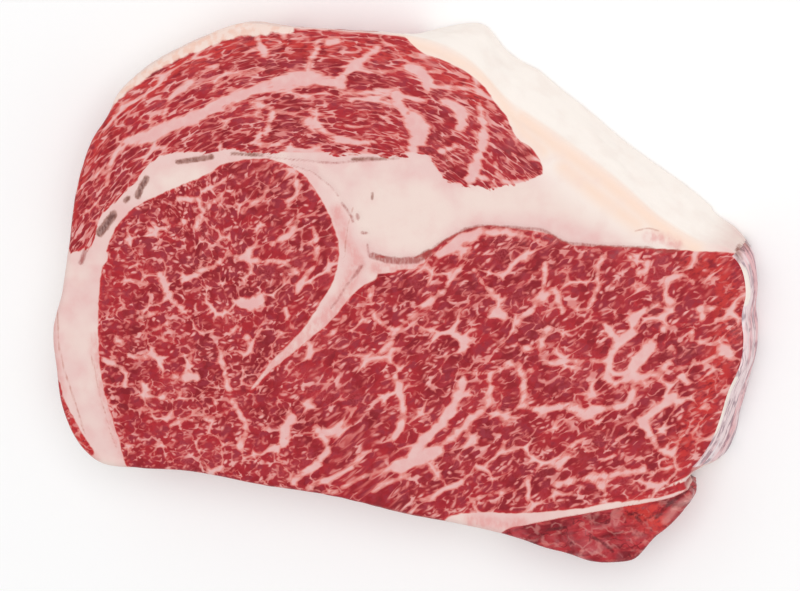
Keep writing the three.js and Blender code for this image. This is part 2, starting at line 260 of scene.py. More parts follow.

# %% [markdown]
# Veins of fat are drawn as short strokes, each with half its width. Only the ones wide enough to
# be known again are drawn: the finish adds the fine marbling between them. The first list is the
# cap's pale bands, the second the round muscle's, the third the long muscle's.

# %% Veins of fat
CAP_VEINS = [
    (0.9, [(-77, 31), (-76, 35), (-74.5, 39), (-72.5, 41.5)]),
    (2.0, [(-70.5, 43.3), (-65, 44.8), (-60, 47), (-55, 49), (-50, 51.5)]),
    (2.4, [(-48, 52.8), (-42.5, 55.8), (-39, 57)]),
    (1.7, [(-39, 57), (-35, 58.8), (-31, 60.3)]),
    (2.6, [(-29.5, 60.8), (-25, 61.8), (-20.5, 62)]),
    (2.0, [(-20, 62), (-15, 61.8), (-11.5, 60.5)]),
    (1.0, [(-61, 50), (-60, 53.5), (-58.5, 56)]),
    (1.4, [(-58.2, 57), (-55.5, 58.6), (-53.5, 60)]),
    (0.8, [(-53.5, 60), (-51.5, 62.5), (-48.5, 64), (-46, 64.6)]),
    (0.8, [(-46.5, 59.5), (-43, 61), (-39.5, 62.3), (-36, 63.6), (-33.5, 64)]),
    (1.1, [(-35, 72.5), (-34, 70.5), (-33, 68.8)]),
    (1.2, [(-28.4, 74.2), (-27.6, 73.8)]),
    (0.9, [(-18.2, 70.8), (-20, 68), (-21, 65.5), (-21.2, 64)]),
    (1.2, [(-15.5, 72.2), (-13, 73.3)]),
    (1.3, [(-2, 71), (-5, 69), (-8, 66.3), (-11, 63.5), (-13, 62.5)]),
    (0.8, [(-8, 65.6), (-4, 64.6), (1, 65.2), (6, 66)]),
    (1.4, [(6.5, 66), (10.5, 65), (12.3, 63), (11.8, 61)]),
    (0.5, [(12.5, 65.3), (18, 65.8), (23, 64.2)]),
    (0.7, [(12, 61), (18, 61.3), (24, 61), (27, 60.3)]),
    (0.6, [(3, 69.8), (8, 69.4), (14, 69.2)]),
    (0.9, [(-12, 59), (-6, 58.8), (0, 59.6), (3, 60)]),
    (1.7, [(3.6, 59), (4.2, 56.5), (5.5, 54)]),
    (3.0, [(8.2, 51.5), (9.8, 49.5), (9.6, 47)]),
    (1.8, [(9, 47), (8.2, 43.5)]),
    (0.5, [(5, 58.5), (9, 57.6), (12, 57)]),
    (1.8, [(17.2, 57.2), (20.4, 55.6), (22, 52.8), (21.3, 50.8)]),
    (1.1, [(26.2, 57.4), (27, 54), (27.5, 50.5)]),
    (1.5, [(27.6, 49.5), (27.5, 46), (26.6, 42.5)]),
    (1.9, [(26.2, 42), (25, 38.5), (24, 36)]),
    (0.8, [(26.5, 36.4), (31.5, 36.8), (30.8, 40.6)]),
    (0.9, [(31, 35.6), (36, 35.4), (43.5, 36)]),
    (0.8, [(38.6, 46.6), (41, 45), (45, 43.4)]),
    (0.4, [(35.5, 43.6), (39, 42.4), (43.5, 42)]),
    (0.5, [(29, 56.6), (31.5, 54), (34.5, 49.6), (37.5, 47)]),
    (1.2, [(16.2, 43.6), (19.5, 44.6)]),
    (0.5, [(17.5, 41.8), (21, 40.6)]),
    (0.8, [(-37, 55.2), (-31.5, 53.8), (-27, 52.7), (-23.5, 51.7)]),
    (1.0, [(-23.5, 51.7), (-19.5, 49.9), (-16, 47.8), (-12.5, 46), (-8, 44.8), (-4, 44.8)]),
    (0.5, [(-4, 44.8), (0, 46.6), (4, 47.6)]),
    (1.3, [(-30.6, 52), (-31.4, 49.4)]),
    (0.9, [(-31.4, 49), (-32.5, 46.5)]),
    (0.4, [(-20, 52.6), (-14, 52), (-8, 52.4), (-3, 53.8), (1, 54.4)]),
    (0.4, [(-12.5, 49.4), (-8, 49.4), (-3, 50.2)]),
    (1.1, [(-45.4, 43.8), (-45.4, 41)]),
    (0.8, [(-39.4, 46.2), (-37.8, 46.8)]),
    (0.7, [(-36.5, 43.6), (-33, 43.2), (-29, 44)]),
    (0.8, [(-19.2, 43.2), (-18, 43.4)]),
    (0.6, [(-79.5, 31.2), (-77.6, 34)]),
    (0.5, [(-81.5, 27), (-79, 24.5)]),
    (0.6, [(-73.4, 46.6), (-74.6, 49.4)]),
    (0.4, [(-79.8, 33), (-78.4, 38.6)]),
]
ROUND_VEINS = [
    (1.0, [(-56.5, 28), (-51.5, 27.5), (-50, 24.5), (-51.5, 20.5)]),
    (0.8, [(-50, 24.5), (-46, 28), (-43.5, 30.5)]),
    (0.6, [(-61, 22), (-58.5, 20), (-55, 21.5)]),
    (0.8, [(-64.5, 19), (-61.5, 17.5), (-57, 16.5)]),
    (0.8, [(-43.5, 13), (-37.5, 11.5), (-31, 11.5), (-25.5, 10.5), (-23, 7.5)]),
    (0.7, [(-29.5, 36.5), (-31, 33.5), (-33, 29.5), (-36.5, 27), (-38.5, 25)]),
    (0.7, [(-44.5, 11), (-47.5, 9), (-52, 7.5), (-56, 4.5)]),
    (0.7, [(-73.5, 4.5), (-69, 4.5), (-65.5, 4)]),
    (1.0, [(-61.5, 6.5), (-60.5, 3), (-58.5, 0), (-56, -2.5)]),
    (2.1, [(-39, -0.5), (-34, 0)]),
    (0.6, [(-70.5, -6.5), (-67, -5.5), (-62.5, -3.5)]),
    (0.8, [(-66.5, -9.5), (-62.5, -8.5), (-59.5, -6.5)]),
    (1.1, [(-73.5, -12), (-72.5, -13)]),
    (0.8, [(-61, -11), (-58, -12)]),
    (0.7, [(-70.5, -16), (-67, -17), (-63.5, -15.5)]),
    (0.8, [(-77.5, -17.5), (-74, -19), (-71.5, -21), (-71.5, -25)]),
    (1.4, [(-58, -21.5), (-52, -21.5)]),
    (0.6, [(-55, -20.5), (-53.5, -17), (-52.5, -14.5)]),
    (1.1, [(-65, -27), (-61.5, -27.5)]),
    (0.9, [(-45.5, -14), (-44, -19), (-43, -24), (-41.5, -28.5), (-38.5, -33), (-38.5, -37.5),
           (-40, -41)]),
    (0.8, [(-42.5, -8), (-40.5, -7.5), (-37.5, -10)]),
    (0.6, [(-66.5, -31), (-61.5, -31)]),
    (0.7, [(-59, -35), (-55.5, -33.5), (-52, -30.5), (-48.5, -33.5), (-43.5, -30.5)]),
    (0.8, [(-47.5, -26.5), (-46.5, -28.5)]),
    (0.9, [(-24, 33.5), (-24, 30.5), (-26.5, 27.5)]),
    (0.9, [(-30.5, 16.5), (-26, 19), (-23.5, 22.5)]),
    (0.9, [(-19.5, 21), (-18, 16), (-18.5, 11.5), (-22.5, 7), (-24, 3)]),
    (0.8, [(-27, -1.5), (-25.5, -6.5)]),
    (0.7, [(-17, -9), (-14, -8), (-10.5, -3.5)]),
    (1.7, [(-25.5, -31), (-27, -34.5), (-28, -38.5)]),
    (1.1, [(-19, -34), (-16, -37.5), (-15.5, -40.5), (-18, -44), (-22, -47), (-25.5, -50)]),
    (0.5, [(-25.5, -24.5), (-21.5, -24.5)]),
]
LONG_VEINS = [
    (1.8, [(15.5, 14.8), (18.5, 17), (22, 19.4), (27, 21.2)]),
    (1.4, [(27, 21.4), (34, 21.6)]),
    (0.9, [(34, 21.2), (40, 20.6), (44.5, 19.4)]),
    (0.8, [(-4, 4.5), (-2.5, -3), (-1, -4.5)]),
    (1.0, [(-1, -4.5), (3, -6.5), (5.5, -4.5), (9.5, -1), (13.5, 3), (16.5, 5)]),
    (0.9, [(3, -6.5), (2, -9.5), (-0.5, -12.5)]),
    (0.7, [(25, 19.5), (22, 12.5), (17, 5.5)]),
    (0.6, [(25, 11), (28.5, 6), (30, 5.5)]),
    (1.9, [(30.5, -1), (32.5, -1)]),
    (0.9, [(44.5, 13.5), (44.5, 9.5), (43.5, 4.5), (41.5, 1), (37, -3)]),
    (1.0, [(43, 2.5), (46, 6), (47.5, 6), (48.5, 3), (49.5, 0)]),
    (0.8, [(60.5, 16), (59, 11.5), (59.5, 7.5), (56.5, 1.5)]),
    (1.2, [(46, -4.5), (44.5, -7), (43, -10.5)]),
    (0.6, [(43, -10.5), (40.5, -10.5), (37, -9)]),
    (1.1, [(34.5, -15), (37.5, -14.5), (38.5, -19), (39, -23), (38, -26)]),
    (0.7, [(37.5, -14.5), (41, -16.5), (44, -14.5), (49.5, -13.5), (56, -13), (61.5, -13)]),
    (1.3, [(38, -26), (41.5, -27), (45.5, -27), (50.5, -25.5)]),
    (1.7, [(50.5, -25.5), (53.5, -27), (55.5, -27.5), (59.5, -26)]),
    (0.9, [(59.5, -26), (63.5, -25.5), (67, -25), (68.5, -22), (70, -19), (73.5, -18)]),
    (0.5, [(57.5, -28), (59, -29.5), (61, -32.5)]),
    (0.8, [(19, -18.5), (22.5, -17.5), (27, -17.5), (30, -17)]),
    (1.3, [(22, -18.5), (21, -23), (18.5, -28)]),
    (1.7, [(18.5, -28), (15, -33), (10.5, -38), (5.5, -43.5)]),
    (1.0, [(29.5, -17.5), (29.5, -22), (29, -26), (25, -29.5)]),
    (1.3, [(25, -29.5), (21.5, -33), (18, -36.5), (14.5, -39)]),
    (2.4, [(4, -44), (8, -42.5), (14.5, -39.5)]),
    (1.2, [(3.5, -19.5), (4.5, -23.5), (5.5, -28), (5, -32.5), (3, -35.5)]),
    (1.0, [(53, -38), (50.5, -40), (48, -43)]),
    (1.2, [(75.5, 3), (72, 1.5), (69.5, -0.5)]),
    (1.5, [(69.5, -0.5), (68.5, -4), (65.5, -8), (63, -10.5)]),
    (1.1, [(63, -10.5), (62, -14.5), (61.5, -17.5), (63.5, -19.5), (68.5, -17), (72, -17.5),
           (75.5, -16)]),
    (1.2, [(61, -3), (63.5, -6), (65.5, -8)]),
    (1.8, [(74, -8), (71.5, -11.5), (69, -14)]),
    (0.8, [(75.5, -16), (77, -14.5), (79, -13), (81, -14.5), (85, -13.5), (87.5, -12.5),
           (91.5, -11)]),
    (2.0, [(94, -9), (95.5, -10.5)]),
    (1.4, [(87.5, 2), (88, 0)]),
    (0.9, [(87.5, 1.5), (91, 2.5)]),
    (0.4, [(91.5, -0.5), (95, 0), (97.5, 1)]),
    (1.1, [(81, 11), (78.5, 10), (78, 7.5), (78, 5.5), (79, 4.5)]),
    (0.7, [(82, 11.5), (84, 11), (85.5, 9.5)]),
    (1.0, [(73, 15), (72.5, 12.5), (70.5, 12)]),
    (0.6, [(68, 16), (69, 13.5), (70.5, 12)]),
    (0.8, [(85, -4), (85, -6.5), (87.5, -7), (90.5, -5.5)]),
    (0.6, [(81, -1.5), (84, -2.5), (85.5, -4)]),
    (0.6, [(74.5, -3.5), (75, -6)]),
    (0.7, [(77, -3.5), (78, -5), (77.5, -7.5)]),
    (0.8, [(79.5, -9), (80.5, -10)]),
    (1.2, [(82, -16.5), (84, -18.5)]),
    (0.7, [(68, -21.5), (69.5, -18.5), (72.5, -17.5)]),
    (1.3, [(80, -22), (76, -25.5), (71, -29), (73, -32), (74.5, -34.5)]),
    (0.9, [(74.5, -34.5), (76, -37), (79.5, -38), (81.5, -34.5), (82.5, -31.5)]),
    (0.5, [(81.5, -27.5), (85, -27), (89, -24)]),
    (1.2, [(48, -47.5), (56, -45.5), (64, -44), (71.5, -42.5)]),
    (0.9, [(57.5, -46), (60.5, -48), (61.5, -50)]),
    (0.7, [(60, -40.5), (64, -39)]),
    (0.6, [(64.5, -34.5), (67.5, -33)]),
    (0.6, [(52, -37), (55.5, -34)]),
    (0.8, [(39.5, -45.5), (40, -49.5), (39.5, -52.5)]),
    (0.8, [(-21.5, -51.5), (-14.5, -48), (-9, -45)]),
    (0.8, [(-14.5, -52.5), (-7.5, -48), (0.5, -45), (4.5, -43)]),
    (0.7, [(-3, -51.5), (2.5, -48), (7.5, -46)]),
    (0.5, [(-11.5, -28.5), (-7.5, -28.5)]),
    (0.5, [(-8.5, -28.5), (-9, -31.5), (-11, -33.5)]),
    (0.6, [(71, 1.5), (69.5, 3.5)]),
    (0.7, [(13, -6), (17, -3.5)]),
    (0.7, [(24, -52.5), (32.5, -50.5), (38, -49)]),
    (0.7, [(10.5, -53), (17, -50), (21.5, -48)]),
    (0.7, [(74, -43.5), (76.5, -43), (79, -41.5)]),
]


FAR_OFF = 50.0               # mm, how far a place without strokes is taken to be from one


def beyond(strokes):
    """How far a place lies outside the nearest stroke, negative inside it. Strokes of one width
    are measured together, and each group's distance less its half width is compared."""
    best = np.full(len(net), FAR_OFF, np.float32)
    for width in sorted({w for w, _ in strokes}):
        lines = [trued(p) for w, p in strokes if w == width]
        starts = np.concatenate([p[:-1] for p in lines])
        ends = np.concatenate([p[1:] for p in lines])
        best = np.minimum(best, segment_distance(starts, ends) - width)
    return best.reshape(NET_SIZE)


ALL_VEINS = CAP_VEINS + ROUND_VEINS + LONG_VEINS
print(len(ALL_VEINS), "veins drawn")

# %% [markdown]
# Membranes show as brown-pink lines, some of them as thin as hairs, and where the meat dried a
# little there are grey-brown stains. The membrane strokes also hold a painted shadow: a dark line
# just inside the lower rim. The creamiest fat is the kernel, the fat cap is white with peach along
# its cut edge, and near the muscles the fat is pinker. Slivers add lean that is too narrow for the
# muscles' outlines, and trims cut lean back to its seam. The rib strip has slits painted as shade,
# ridges painted as highlight, and a turned-up flap. These marks are drawn in the same way as the
# veins.

# %% Membranes, stains and tones
MEMBRANES_AND_RIM_SHADOW = [
    (0.28, [(-2, 14), (1, 13), (5.5, 12.5), (9.5, 13), (12, 15), (15, 17.5), (19.5, 20),
            (22.5, 22), (27, 23), (35.5, 23), (44, 22.5), (46, 21.5), (49.5, 19.5), (51.5, 19),
            (61, 18.5), (73.5, 18.5), (76.5, 17.5), (81.5, 18)]),
    (0.85, [(-3, 13.8), (1, 12.8), (5, 12.6), (9, 13.0), (12.5, 15.2)]),
    # Painted shadow: this stroke is a dark line just inside the lower rim, where the rim casts its shadow,
    # not a membrane.
    (0.20, [(-53.5, -48.4), (-36.5, -51.2), (-14, -53.8), (4.5, -57), (17.5, -59.6)]),
    (0.10, [(-32, 40), (-23, 39.5), (-14, 39), (-5, 40), (4.5, 41)]),
    (0.06, [(-25.5, 38), (-20, 36.5), (-15, 33), (-12.5, 30)]),
    (0.22, [(-11.5, 28), (-9, 24.5), (-8.5, 23)]),
    (0.30, [(-7.3, 25), (-7, 23.8)]),
    (0.25, [(-6, 20), (-4.6, 20)]),
    (0.12, [(-4.5, 17), (-4, 13.5)]),
    (0.35, [(-6, 11), (-8, 8)]),
    (0.12, [(-8, 8), (-10.5, 5), (-12.5, 1.5), (-14.5, -1)]),
    (0.20, [(16.5, 41.5), (19, 39)]),
    (0.55, [(-84.0, 8.8), (-82.8, 12.0)]),
]
THIN_LINES = [
    (0.24, [(-91, -2), (-90.4, -6.8), (-89.9, -15), (-88.2, -22), (-86.3, -27.4), (-84, -34.8),
            (-82.9, -38.4)]),
    (0.18, [(-81, -16.2), (-79.2, -24.4), (-77.4, -31.3), (-75.8, -37.3), (-74.1, -42)]),
    (0.16, [(69.5, 23.0), (73.0, 24.0), (76.5, 23.2)]),
    (0.16, [(-66, 41.8), (-60, 44.8), (-55, 47.8)]),
    (0.14, [(-8.4, 27), (-9.8, 22), (-10.5, 17), (-10.8, 12)]),
]
SLIVERS = [
    (1.2, [(-91.0, -25), (-89.6, -29.8), (-86.8, -35.2), (-83.8, -40.2), (-81.6, -43.4)]),
    (0.9, [(66, -50.9), (70, -50.3), (76, -49.5), (83, -47.0)]),
]
TRIMS = [
    (1.9, [(47, 37.6), (42, 34.9), (38, 33.4), (33, 32.6)]),
    (2.3, [(-1, 11.2), (2, 11.5)]),
    (1.6, [(2, 11.5), (8, 12.2)]),
    (0.9, [(8, 12.2), (10.6, 13.0)]),
    (2.8, [(-93, 8.4), (-85, 9.2), (-79, 10.8)]),
]
PEACH_PLACES = [
    (0.8, [(4, 73.6), (14, 71), (23, 67), (29.5, 62), (34.5, 55), (39, 49), (44, 44.4)]),
    (1.3, [(38, 53), (47, 46.4), (61, 36.8), (75.5, 25.2), (86, 18.5)]),
    (1.2, [(50, 40), (60, 32), (70, 25)]),
]
ROSE_PLACES = [
    (1.0, [(-13.0, 26), (-10.5, 18), (-7, 12)]),
    (1.4, [(-7, 12), (-9.5, 6), (-12.0, 0)]),
    (2.2, [(-12, 0), (-16, -5), (-23, -11.5), (-33, -21)]),
    (1.0, [(-79.8, -12), (-79.2, -18), (-77.8, -25), (-76, -32), (-74.4, -38), (-72.5, -43)]),
    (0.8, [(-92.4, -8), (-92.2, -15), (-90.6, -22), (-89.2, -27)]),
    (0.8, [(-92, -27), (-89, -34), (-84.5, -41), (-80, -45.5)]),
    (0.9, [(73.5, 21.6), (77.5, 21.2), (81, 19.8)]),
    (1.2, [(24, -58.8), (32, -59.6), (38, -59)]),
    (1.2, [(-2, 10.4), (4, 10.8), (10, 12.4)]),
]
# Painted shade: dark lines where the rib strip is slit.
SLIT_SHADE_STROKES = [
    (0.35, [(75.0, -56.6), (78.4, -52.9), (80.6, -50.9), (83.3, -48.6)]),
    (0.25, [(67, -54.8), (69.7, -57), (71, -58.4)]),
    (0.25, [(57.5, -62.5), (60, -64), (63, -66.5)]),
    (0.30, [(46, -60.6), (50, -59.8)]),
]
# Painted highlight: pale lines along the rib strip's ridges.
RIDGE_HIGHLIGHT_STROKES = [
    (0.12, [(70, -55.8), (71.6, -56.2), (73.4, -57.5), (74.8, -56.6)]),
    (0.10, [(72.5, -53.4), (73.4, -55.2)]),
    (0.12, [(54, -66.4), (57, -65.4), (59, -66.8), (61.5, -68.2)]),
]
STRIP_FLAP = [
    (0.8, [(77.4, -57.6), (80.2, -54.4), (84.2, -50.4)]),
]
STAINS = [
    (0.7, [(-57, 37.8), (-52, 38.6), (-47.5, 39.6)]),
    (0.5, [(-42, 40.6), (-38, 40.6), (-33.5, 40.6)]),
    (0.9, [(-68, 28), (-67, 30.5), (-65.5, 33)]),
    (0.7, [(-71.5, 26.6), (-70.6, 27.4)]),
    (1.2, [(-78.6, 17.4), (-77, 19.5), (-74.8, 22.6)]),
    (0.4, [(-8.5, 40.2), (-4.5, 40.6), (0.5, 40.6)]),
    (0.3, [(-3, 31), (-3, 29.7)]),
    (0.5, [(99.0, 19.0), (100.2, 17.4)]),
    (0.4, [(97.4, 18.4), (98.4, 15.8)]),
]
CREAM = [
    (7.0, [(0, 26), (5, 24), (10, 26)]),
    (0.6, [(-60, 32.6), (-52, 34.6)]),
    (0.8, [(97.5, 13.5), (99.8, 11), (100.6, 8), (100.4, 5)]),
    (0.9, [(96.2, -18), (94.4, -22), (93.2, -27), (91, -31)]),
    (0.8, [(88, 19), (90, 17.4)]),
    (2.0, [(24, 30), (44, 31), (62, 27), (80, 21)]),
    (1.2, [(-86, -44.5), (-81, -47.5), (-76, -48)]),
]
WHITE = [
    (9.0, [(6, 84), (22, 72), (36, 60), (50, 50), (66, 38), (84, 28)]),
    (7.0, [(44, 46), (62, 34), (80, 24)]),
]
FILM = [
    (1.2, [(-75.5, 54.5), (-72, 57.5), (-64, 63.6), (-53, 69.9)]),
    (1.7, [(-53, 69.9), (-46, 73.0), (-40, 75.0), (-33, 75.6)]),
    (0.8, [(-33, 75.6), (-26, 75.4)]),
]
BRIGHT = [
    (1.5, [(-88, 20), (-86, 31), (-81, 42), (-75, 50), (-66, 58), (-54, 66), (-40, 71),
           (-20, 71.5), (0, 70), (16, 66), (28, 58)]),
    (2.0, [(86, 15), (92, 14), (95, 8), (95, 0), (94, -8), (91, -18), (86, -30), (80, -40)]),
    (2.2, [(70, -54.2), (73.5, -55.2), (74.5, -57.5)]),
    (0.7, [(-91, -28), (-87, -37), (-83, -41.5)]),
]
past = {name: beyond(strokes) for name, strokes in {
    "vein": ALL_VEINS, "membrane": MEMBRANES_AND_RIM_SHADOW, "stain": STAINS, "cream": CREAM, "bright": BRIGHT,
    "white": WHITE, "film": FILM, "thin": THIN_LINES, "sliver": SLIVERS, "trim": TRIMS,
    "peach": PEACH_PLACES, "rose": ROSE_PLACES, "slit_shade": SLIT_SHADE_STROKES, "ridge_highlight": RIDGE_HIGHLIGHT_STROKES,
    "flap": STRIP_FLAP}.items()}
print("fields past the", ", ".join(past))

# %% [markdown]
# The slice is one closed surface. A square net is stretched over the cut face, with its sides
# on the rim, because that keeps its meshes almost square all the way to the middle, where rings
# would crowd. The wall goes down from the rim in rings: rounded at the cut face and at the board,
# swollen in between and flared under the fat cap. The underside is a coarser net.

# %% The slice's form
THICKNESS = 25.0             # mm
TOP_RADIUS = 1.6             # mm, of the wall's round at the cut face
FOOT_RADIUS = 2.4            # mm, of its round at the board
WALL_BULGE = 0.9             # mm that the wall swells out half way up
RELIEF_FADE = 0.7            # power of the swelling's shape by which the wall's relief fades
CROWN = 0.9                  # mm that the cut face falls from the heart to the rim
RIM_DROP = 0.44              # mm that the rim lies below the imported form
FACE_DROP = 0.42             # mm by which the cut face's relief is lowered
FACE_TOP = -0.02             # mm, the highest the relief may reach
RIM_SOFT = 0.02              # share of the way out over which the relief fades at the rim
STRIP_DROP = 3.4             # mm that the rib strip sags
STRIP_FOLD = 0.8             # mm, half the height of its long folds
FOLD_LENGTH = 13.0           # mm
WRINKLE_GAP = 4.6            # mm between the silverskin's wrinkles
STRIP_ROOT = (33.0, -62.0)   # mm, where the rib strip starts
STRIP_SLOPE = 0.24           # mm that its upper line climbs for each mm along
STRIP_SIDE = (-1.5, 4.5)     # mm below that line, where the sag starts and is whole
STRIP_START = (1, 17)        # mm along it, the same
STRIP_END = (29, 51)         # mm along it, where the sag grows from half to all of its depth
FOLD_SLANT = 0.6             # mm that a fold moves left for each mm up
NORMAL_REACH = 0.4           # mm each way along the rim, for its outward normal
FOOT_INSET = 0.997           # share of the way to the wall's foot that the underside's net fills
FACE_STEPS = 300             # meshes along a side of the net on the cut face
UNDER_STEPS = FACE_STEPS // 2
ROOM = 0.35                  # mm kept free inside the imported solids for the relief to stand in


def smoothstep(value, low, high):
    """0 at low, 1 at high and the cubic 3t^2 - 2t^3 between. Low may be the larger."""
    t = np.clip((value - low) / (high - low), 0, 1)
    return t * t * (3 - 2 * t)


def ripples(x, y, length, seed, count=14):
    """Smooth random hills from -1 to 1: a sum of sine waves of about one length that run in
    random directions, over the square root of their number."""
    rng = np.random.default_rng(seed)
    turn = rng.uniform(0, 2 * np.pi, count)
    wave = 2 * np.pi / (length * rng.uniform(0.7, 1.5, count))
    phase = rng.uniform(0, 2 * np.pi, count)
    total = sum(np.sin(w * (x * np.cos(a) + y * np.sin(a)) + p)
                for a, w, p in zip(turn, wave, phase))
    return total / (1.6 * math.sqrt(count))


def rim_at(share):
    """Point, outward normal, flare and distance along the rim at shares of its length, counted
    anticlockwise from the point level with the heart."""
    step = np.roll(rim_curve[:, :2], -1, 0) - rim_curve[:, :2]
    length = np.hypot(*step.T)
    along = np.concatenate([[0], np.cumsum(length)])
    angle = np.arctan2(rim_curve[:, 1] - HEART[1], rim_curve[:, 0] - HEART[0])
    zero = along[np.argmin(np.abs(angle))]
    where = (zero + share * along[-1]) % along[-1]
    loop = np.vstack([rim_curve, rim_curve[:1]])
    point = np.stack([np.interp(where, along, loop[:, k]) for k in (0, 1)], -1)
    ahead, behind = [np.stack([np.interp((where + reach) % along[-1], along, loop[:, k])
                               for k in (0, 1)], -1) for reach in (NORMAL_REACH, -NORMAL_REACH)]
    run = ahead - behind
    normal = np.stack([run[..., 1], -run[..., 0]], -1)
    normal /= np.linalg.norm(normal, axis=-1, keepdims=True)
    return point, normal, np.interp(where, along, loop[:, 2]), where


def rounded_by(radius, depth):
    """How far a quarter round has drawn in, at a depth below the end that it rounds."""
    left = np.maximum(0, radius - depth)
    return radius - np.sqrt(radius ** 2 - left ** 2)


def face_height(x, y, share):
    """Height of the plain cut face: it falls by the fourth power of the share out from the
    heart, and sags in folds along the rib strip."""
    along = x - STRIP_ROOT[0]
    below = STRIP_ROOT[1] + STRIP_SLOPE * along - y
    on_strip = smoothstep(below, *STRIP_SIDE) * smoothstep(along, *STRIP_START)
    sag = STRIP_DROP * (0.5 + 0.5 * smoothstep(along, *STRIP_END))
    fold = STRIP_FOLD * np.sin(2 * np.pi * (x + FOLD_SLANT * y) / FOLD_LENGTH)
    return THICKNESS - CROWN * share ** 4 - on_strip * (sag - fold)


def face_relief(x, y):
    """Low relief of the cut face, never above 0: slow waves of the soft meat, lean that swells
    a little and sinks to its membranes, fat that stands level, and folds on the rib strip."""
    lean = np.maximum(read(in_cap, x, y), read(in_eye, x, y))
    strip = read(in_strip, x, y)
    membrane = read(past["membrane"], x, y)
    slow = 0.16 * ripples(x, y, 46, seed=3) + 0.10 * ripples(x, y, 17, seed=4)
    swell = 0.16 * smoothstep(lean, 0, 5) - 0.10 * smoothstep(-lean, -0.6, 0.6)
    groove = -0.28 * np.exp(-(np.maximum(membrane, 0) / 0.7) ** 2) * (read(in_slice, x, y) > 2)
    lumps = 0.05 * ripples(x, y, 5.5, seed=5)
    vein = -0.07 * smoothstep(-read(past["vein"], x, y), -0.8, 0.8) * (lean > 0)
    on_strip = smoothstep(strip, -0.5, 3.0)
    folds = on_strip * (0.55 * ripples(x + 0.3 * y, 1.8 * y, 11, seed=7)
                        + 0.22 * ripples(x, y, 4.2, seed=8))
    total = slow + swell + groove + lumps + vein + folds
    return np.minimum(total - FACE_DROP, FACE_TOP)


def wall_relief(x, y, along, height):
    """How far the wall is pushed out or in: lumps in the fat, shallow upright folds in lean, and
    wrinkles along the silverskin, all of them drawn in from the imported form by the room."""
    lean = np.maximum(read(in_cap, x, y), read(in_eye, x, y))
    fat = smoothstep(-lean, -0.5, 1.5)
    skin = smoothstep(read(in_skin, x, y), -1.5, 1.5)
    lumps = (0.30 * ripples(along, 1.3 * height, 15, seed=11)
             + 0.14 * ripples(along, height, 4.5, seed=12))
    upright = 0.18 * ripples(along, 0.25 * height, 5.0, seed=13)
    bend = 2.2 * ripples(along, 0 * height, 26, seed=14)
    wrinkles = (0.32 * np.sin(2 * np.pi * (height + bend) / WRINKLE_GAP)
                + 0.12 * ripples(0.3 * along, height, 1.9, seed=15))
    return fat * lumps + (1 - fat) * (1 - skin) * (upright + 0.4 * lumps) + skin * wrinkles


def swollen(flare, level):
    """How far the wall stands out from the rim before it is rounded: its flare, which is gone at
    the cut face, and half a sine wave of swelling."""
    return flare * (1 - level) + WALL_BULGE * np.sin(np.pi * np.clip(level, 0, 1))


def wall_out(flare, level):
    """How far the plain wall stands out from the rim, less the two rounds."""
    height = level * THICKNESS
    return (swollen(flare, level) - rounded_by(TOP_RADIUS, THICKNESS - height)
            - rounded_by(FOOT_RADIUS, height))


def wall_place(share, level):
    """x, y and z on the wall, for shares round the rim and levels from the board (0) to the cut
    face (1): the rim, moved out by flare, swelling and relief and in by the two rounds."""
    rim, normal, flare, along = rim_at(share)
    body = np.sin(np.pi * np.clip(level, 0, 1)) ** RELIEF_FADE
    push = wall_relief(rim[..., 0], rim[..., 1], along, level * THICKNESS) * body
    out = wall_out(flare, level) + np.minimum(push - ROOM, 0.0)
    place = rim + out[..., None] * normal
    z = level * (face_height(place[..., 0], place[..., 1], 1.0) - RIM_DROP)
    return place[..., 0], place[..., 1], z


print("the point level with the heart is", round(float(rim_at(np.array([0.0]))[3][0])),
      "mm along the rim from its first drawn point")

# %% [markdown]
# The surface is made of numbered points. The rings of the wall stand closer together in its two
# rounds. The net on the cut face has as many points along its border as a ring has, so the two
# share them, and the coarser underside is joined on by triangles.

# %% The slice's mesh
FOOT_RINGS, WALL_RINGS, TOP_RINGS = 7, 20, 8
BOX_AROUND, BOX_LEVELS = 2400, 60       # places at which the plain slice's box is measured


def round_levels(radius, start, end, count):
    """Levels through a quarter round, closest together at its two ends: half the radius's share
    of the thickness, times one less the cosine of even steps of angle."""
    return 0.5 * radius / THICKNESS * (1 - np.cos(np.linspace(start, end, count)))


LEVELS = np.concatenate([round_levels(FOOT_RADIUS, 0, np.pi, FOOT_RINGS)[:-1],
                         np.linspace(FOOT_RADIUS, THICKNESS - TOP_RADIUS, WALL_RINGS) / THICKNESS,
                         1 - round_levels(TOP_RADIUS, np.pi, 0, TOP_RINGS)[1:]])


def square_net(steps):
    """Share of the way out from the heart and share round the rim for a net of steps x steps
    meshes: out is the larger of the two coordinates, and round runs evenly along each side."""
    a, b = np.meshgrid(np.linspace(-1, 1, steps + 1), np.linspace(-1, 1, steps + 1), indexing="ij")
    out = np.maximum(np.abs(a), np.abs(b))
    safe_a, safe_b = np.where(a == 0, 1e-9, a), np.where(b == 0, 1e-9, b)
    across = np.abs(a) >= np.abs(b)
    turn = np.where(across, np.where(a >= 0, b / safe_a / 8, 0.5 + b / safe_a / 8),
                    np.where(b >= 0, 0.25 - a / safe_b / 8, 0.75 - a / safe_b / 8))
    return out, turn % 1.0


def net_border(steps):
    """Numbers of the net's border points, anticlockwise from the middle of its right side."""
    number = np.arange((steps + 1) ** 2).reshape(steps + 1, steps + 1)
    half = steps // 2
    return np.concatenate([number[-1, half:-1], number[:0:-1, -1], number[0, :0:-1],
                           number[:-1, 0], number[-1, :half]])


def net_faces(steps, first=0):
    """Quads of a net, seen from above with their corners anticlockwise."""
    number = first + np.arange((steps + 1) ** 2).reshape(steps + 1, steps + 1)
    return np.stack([number[:-1, :-1], number[1:, :-1], number[1:, 1:], number[:-1, 1:]],
                    -1).reshape(-1, 4)


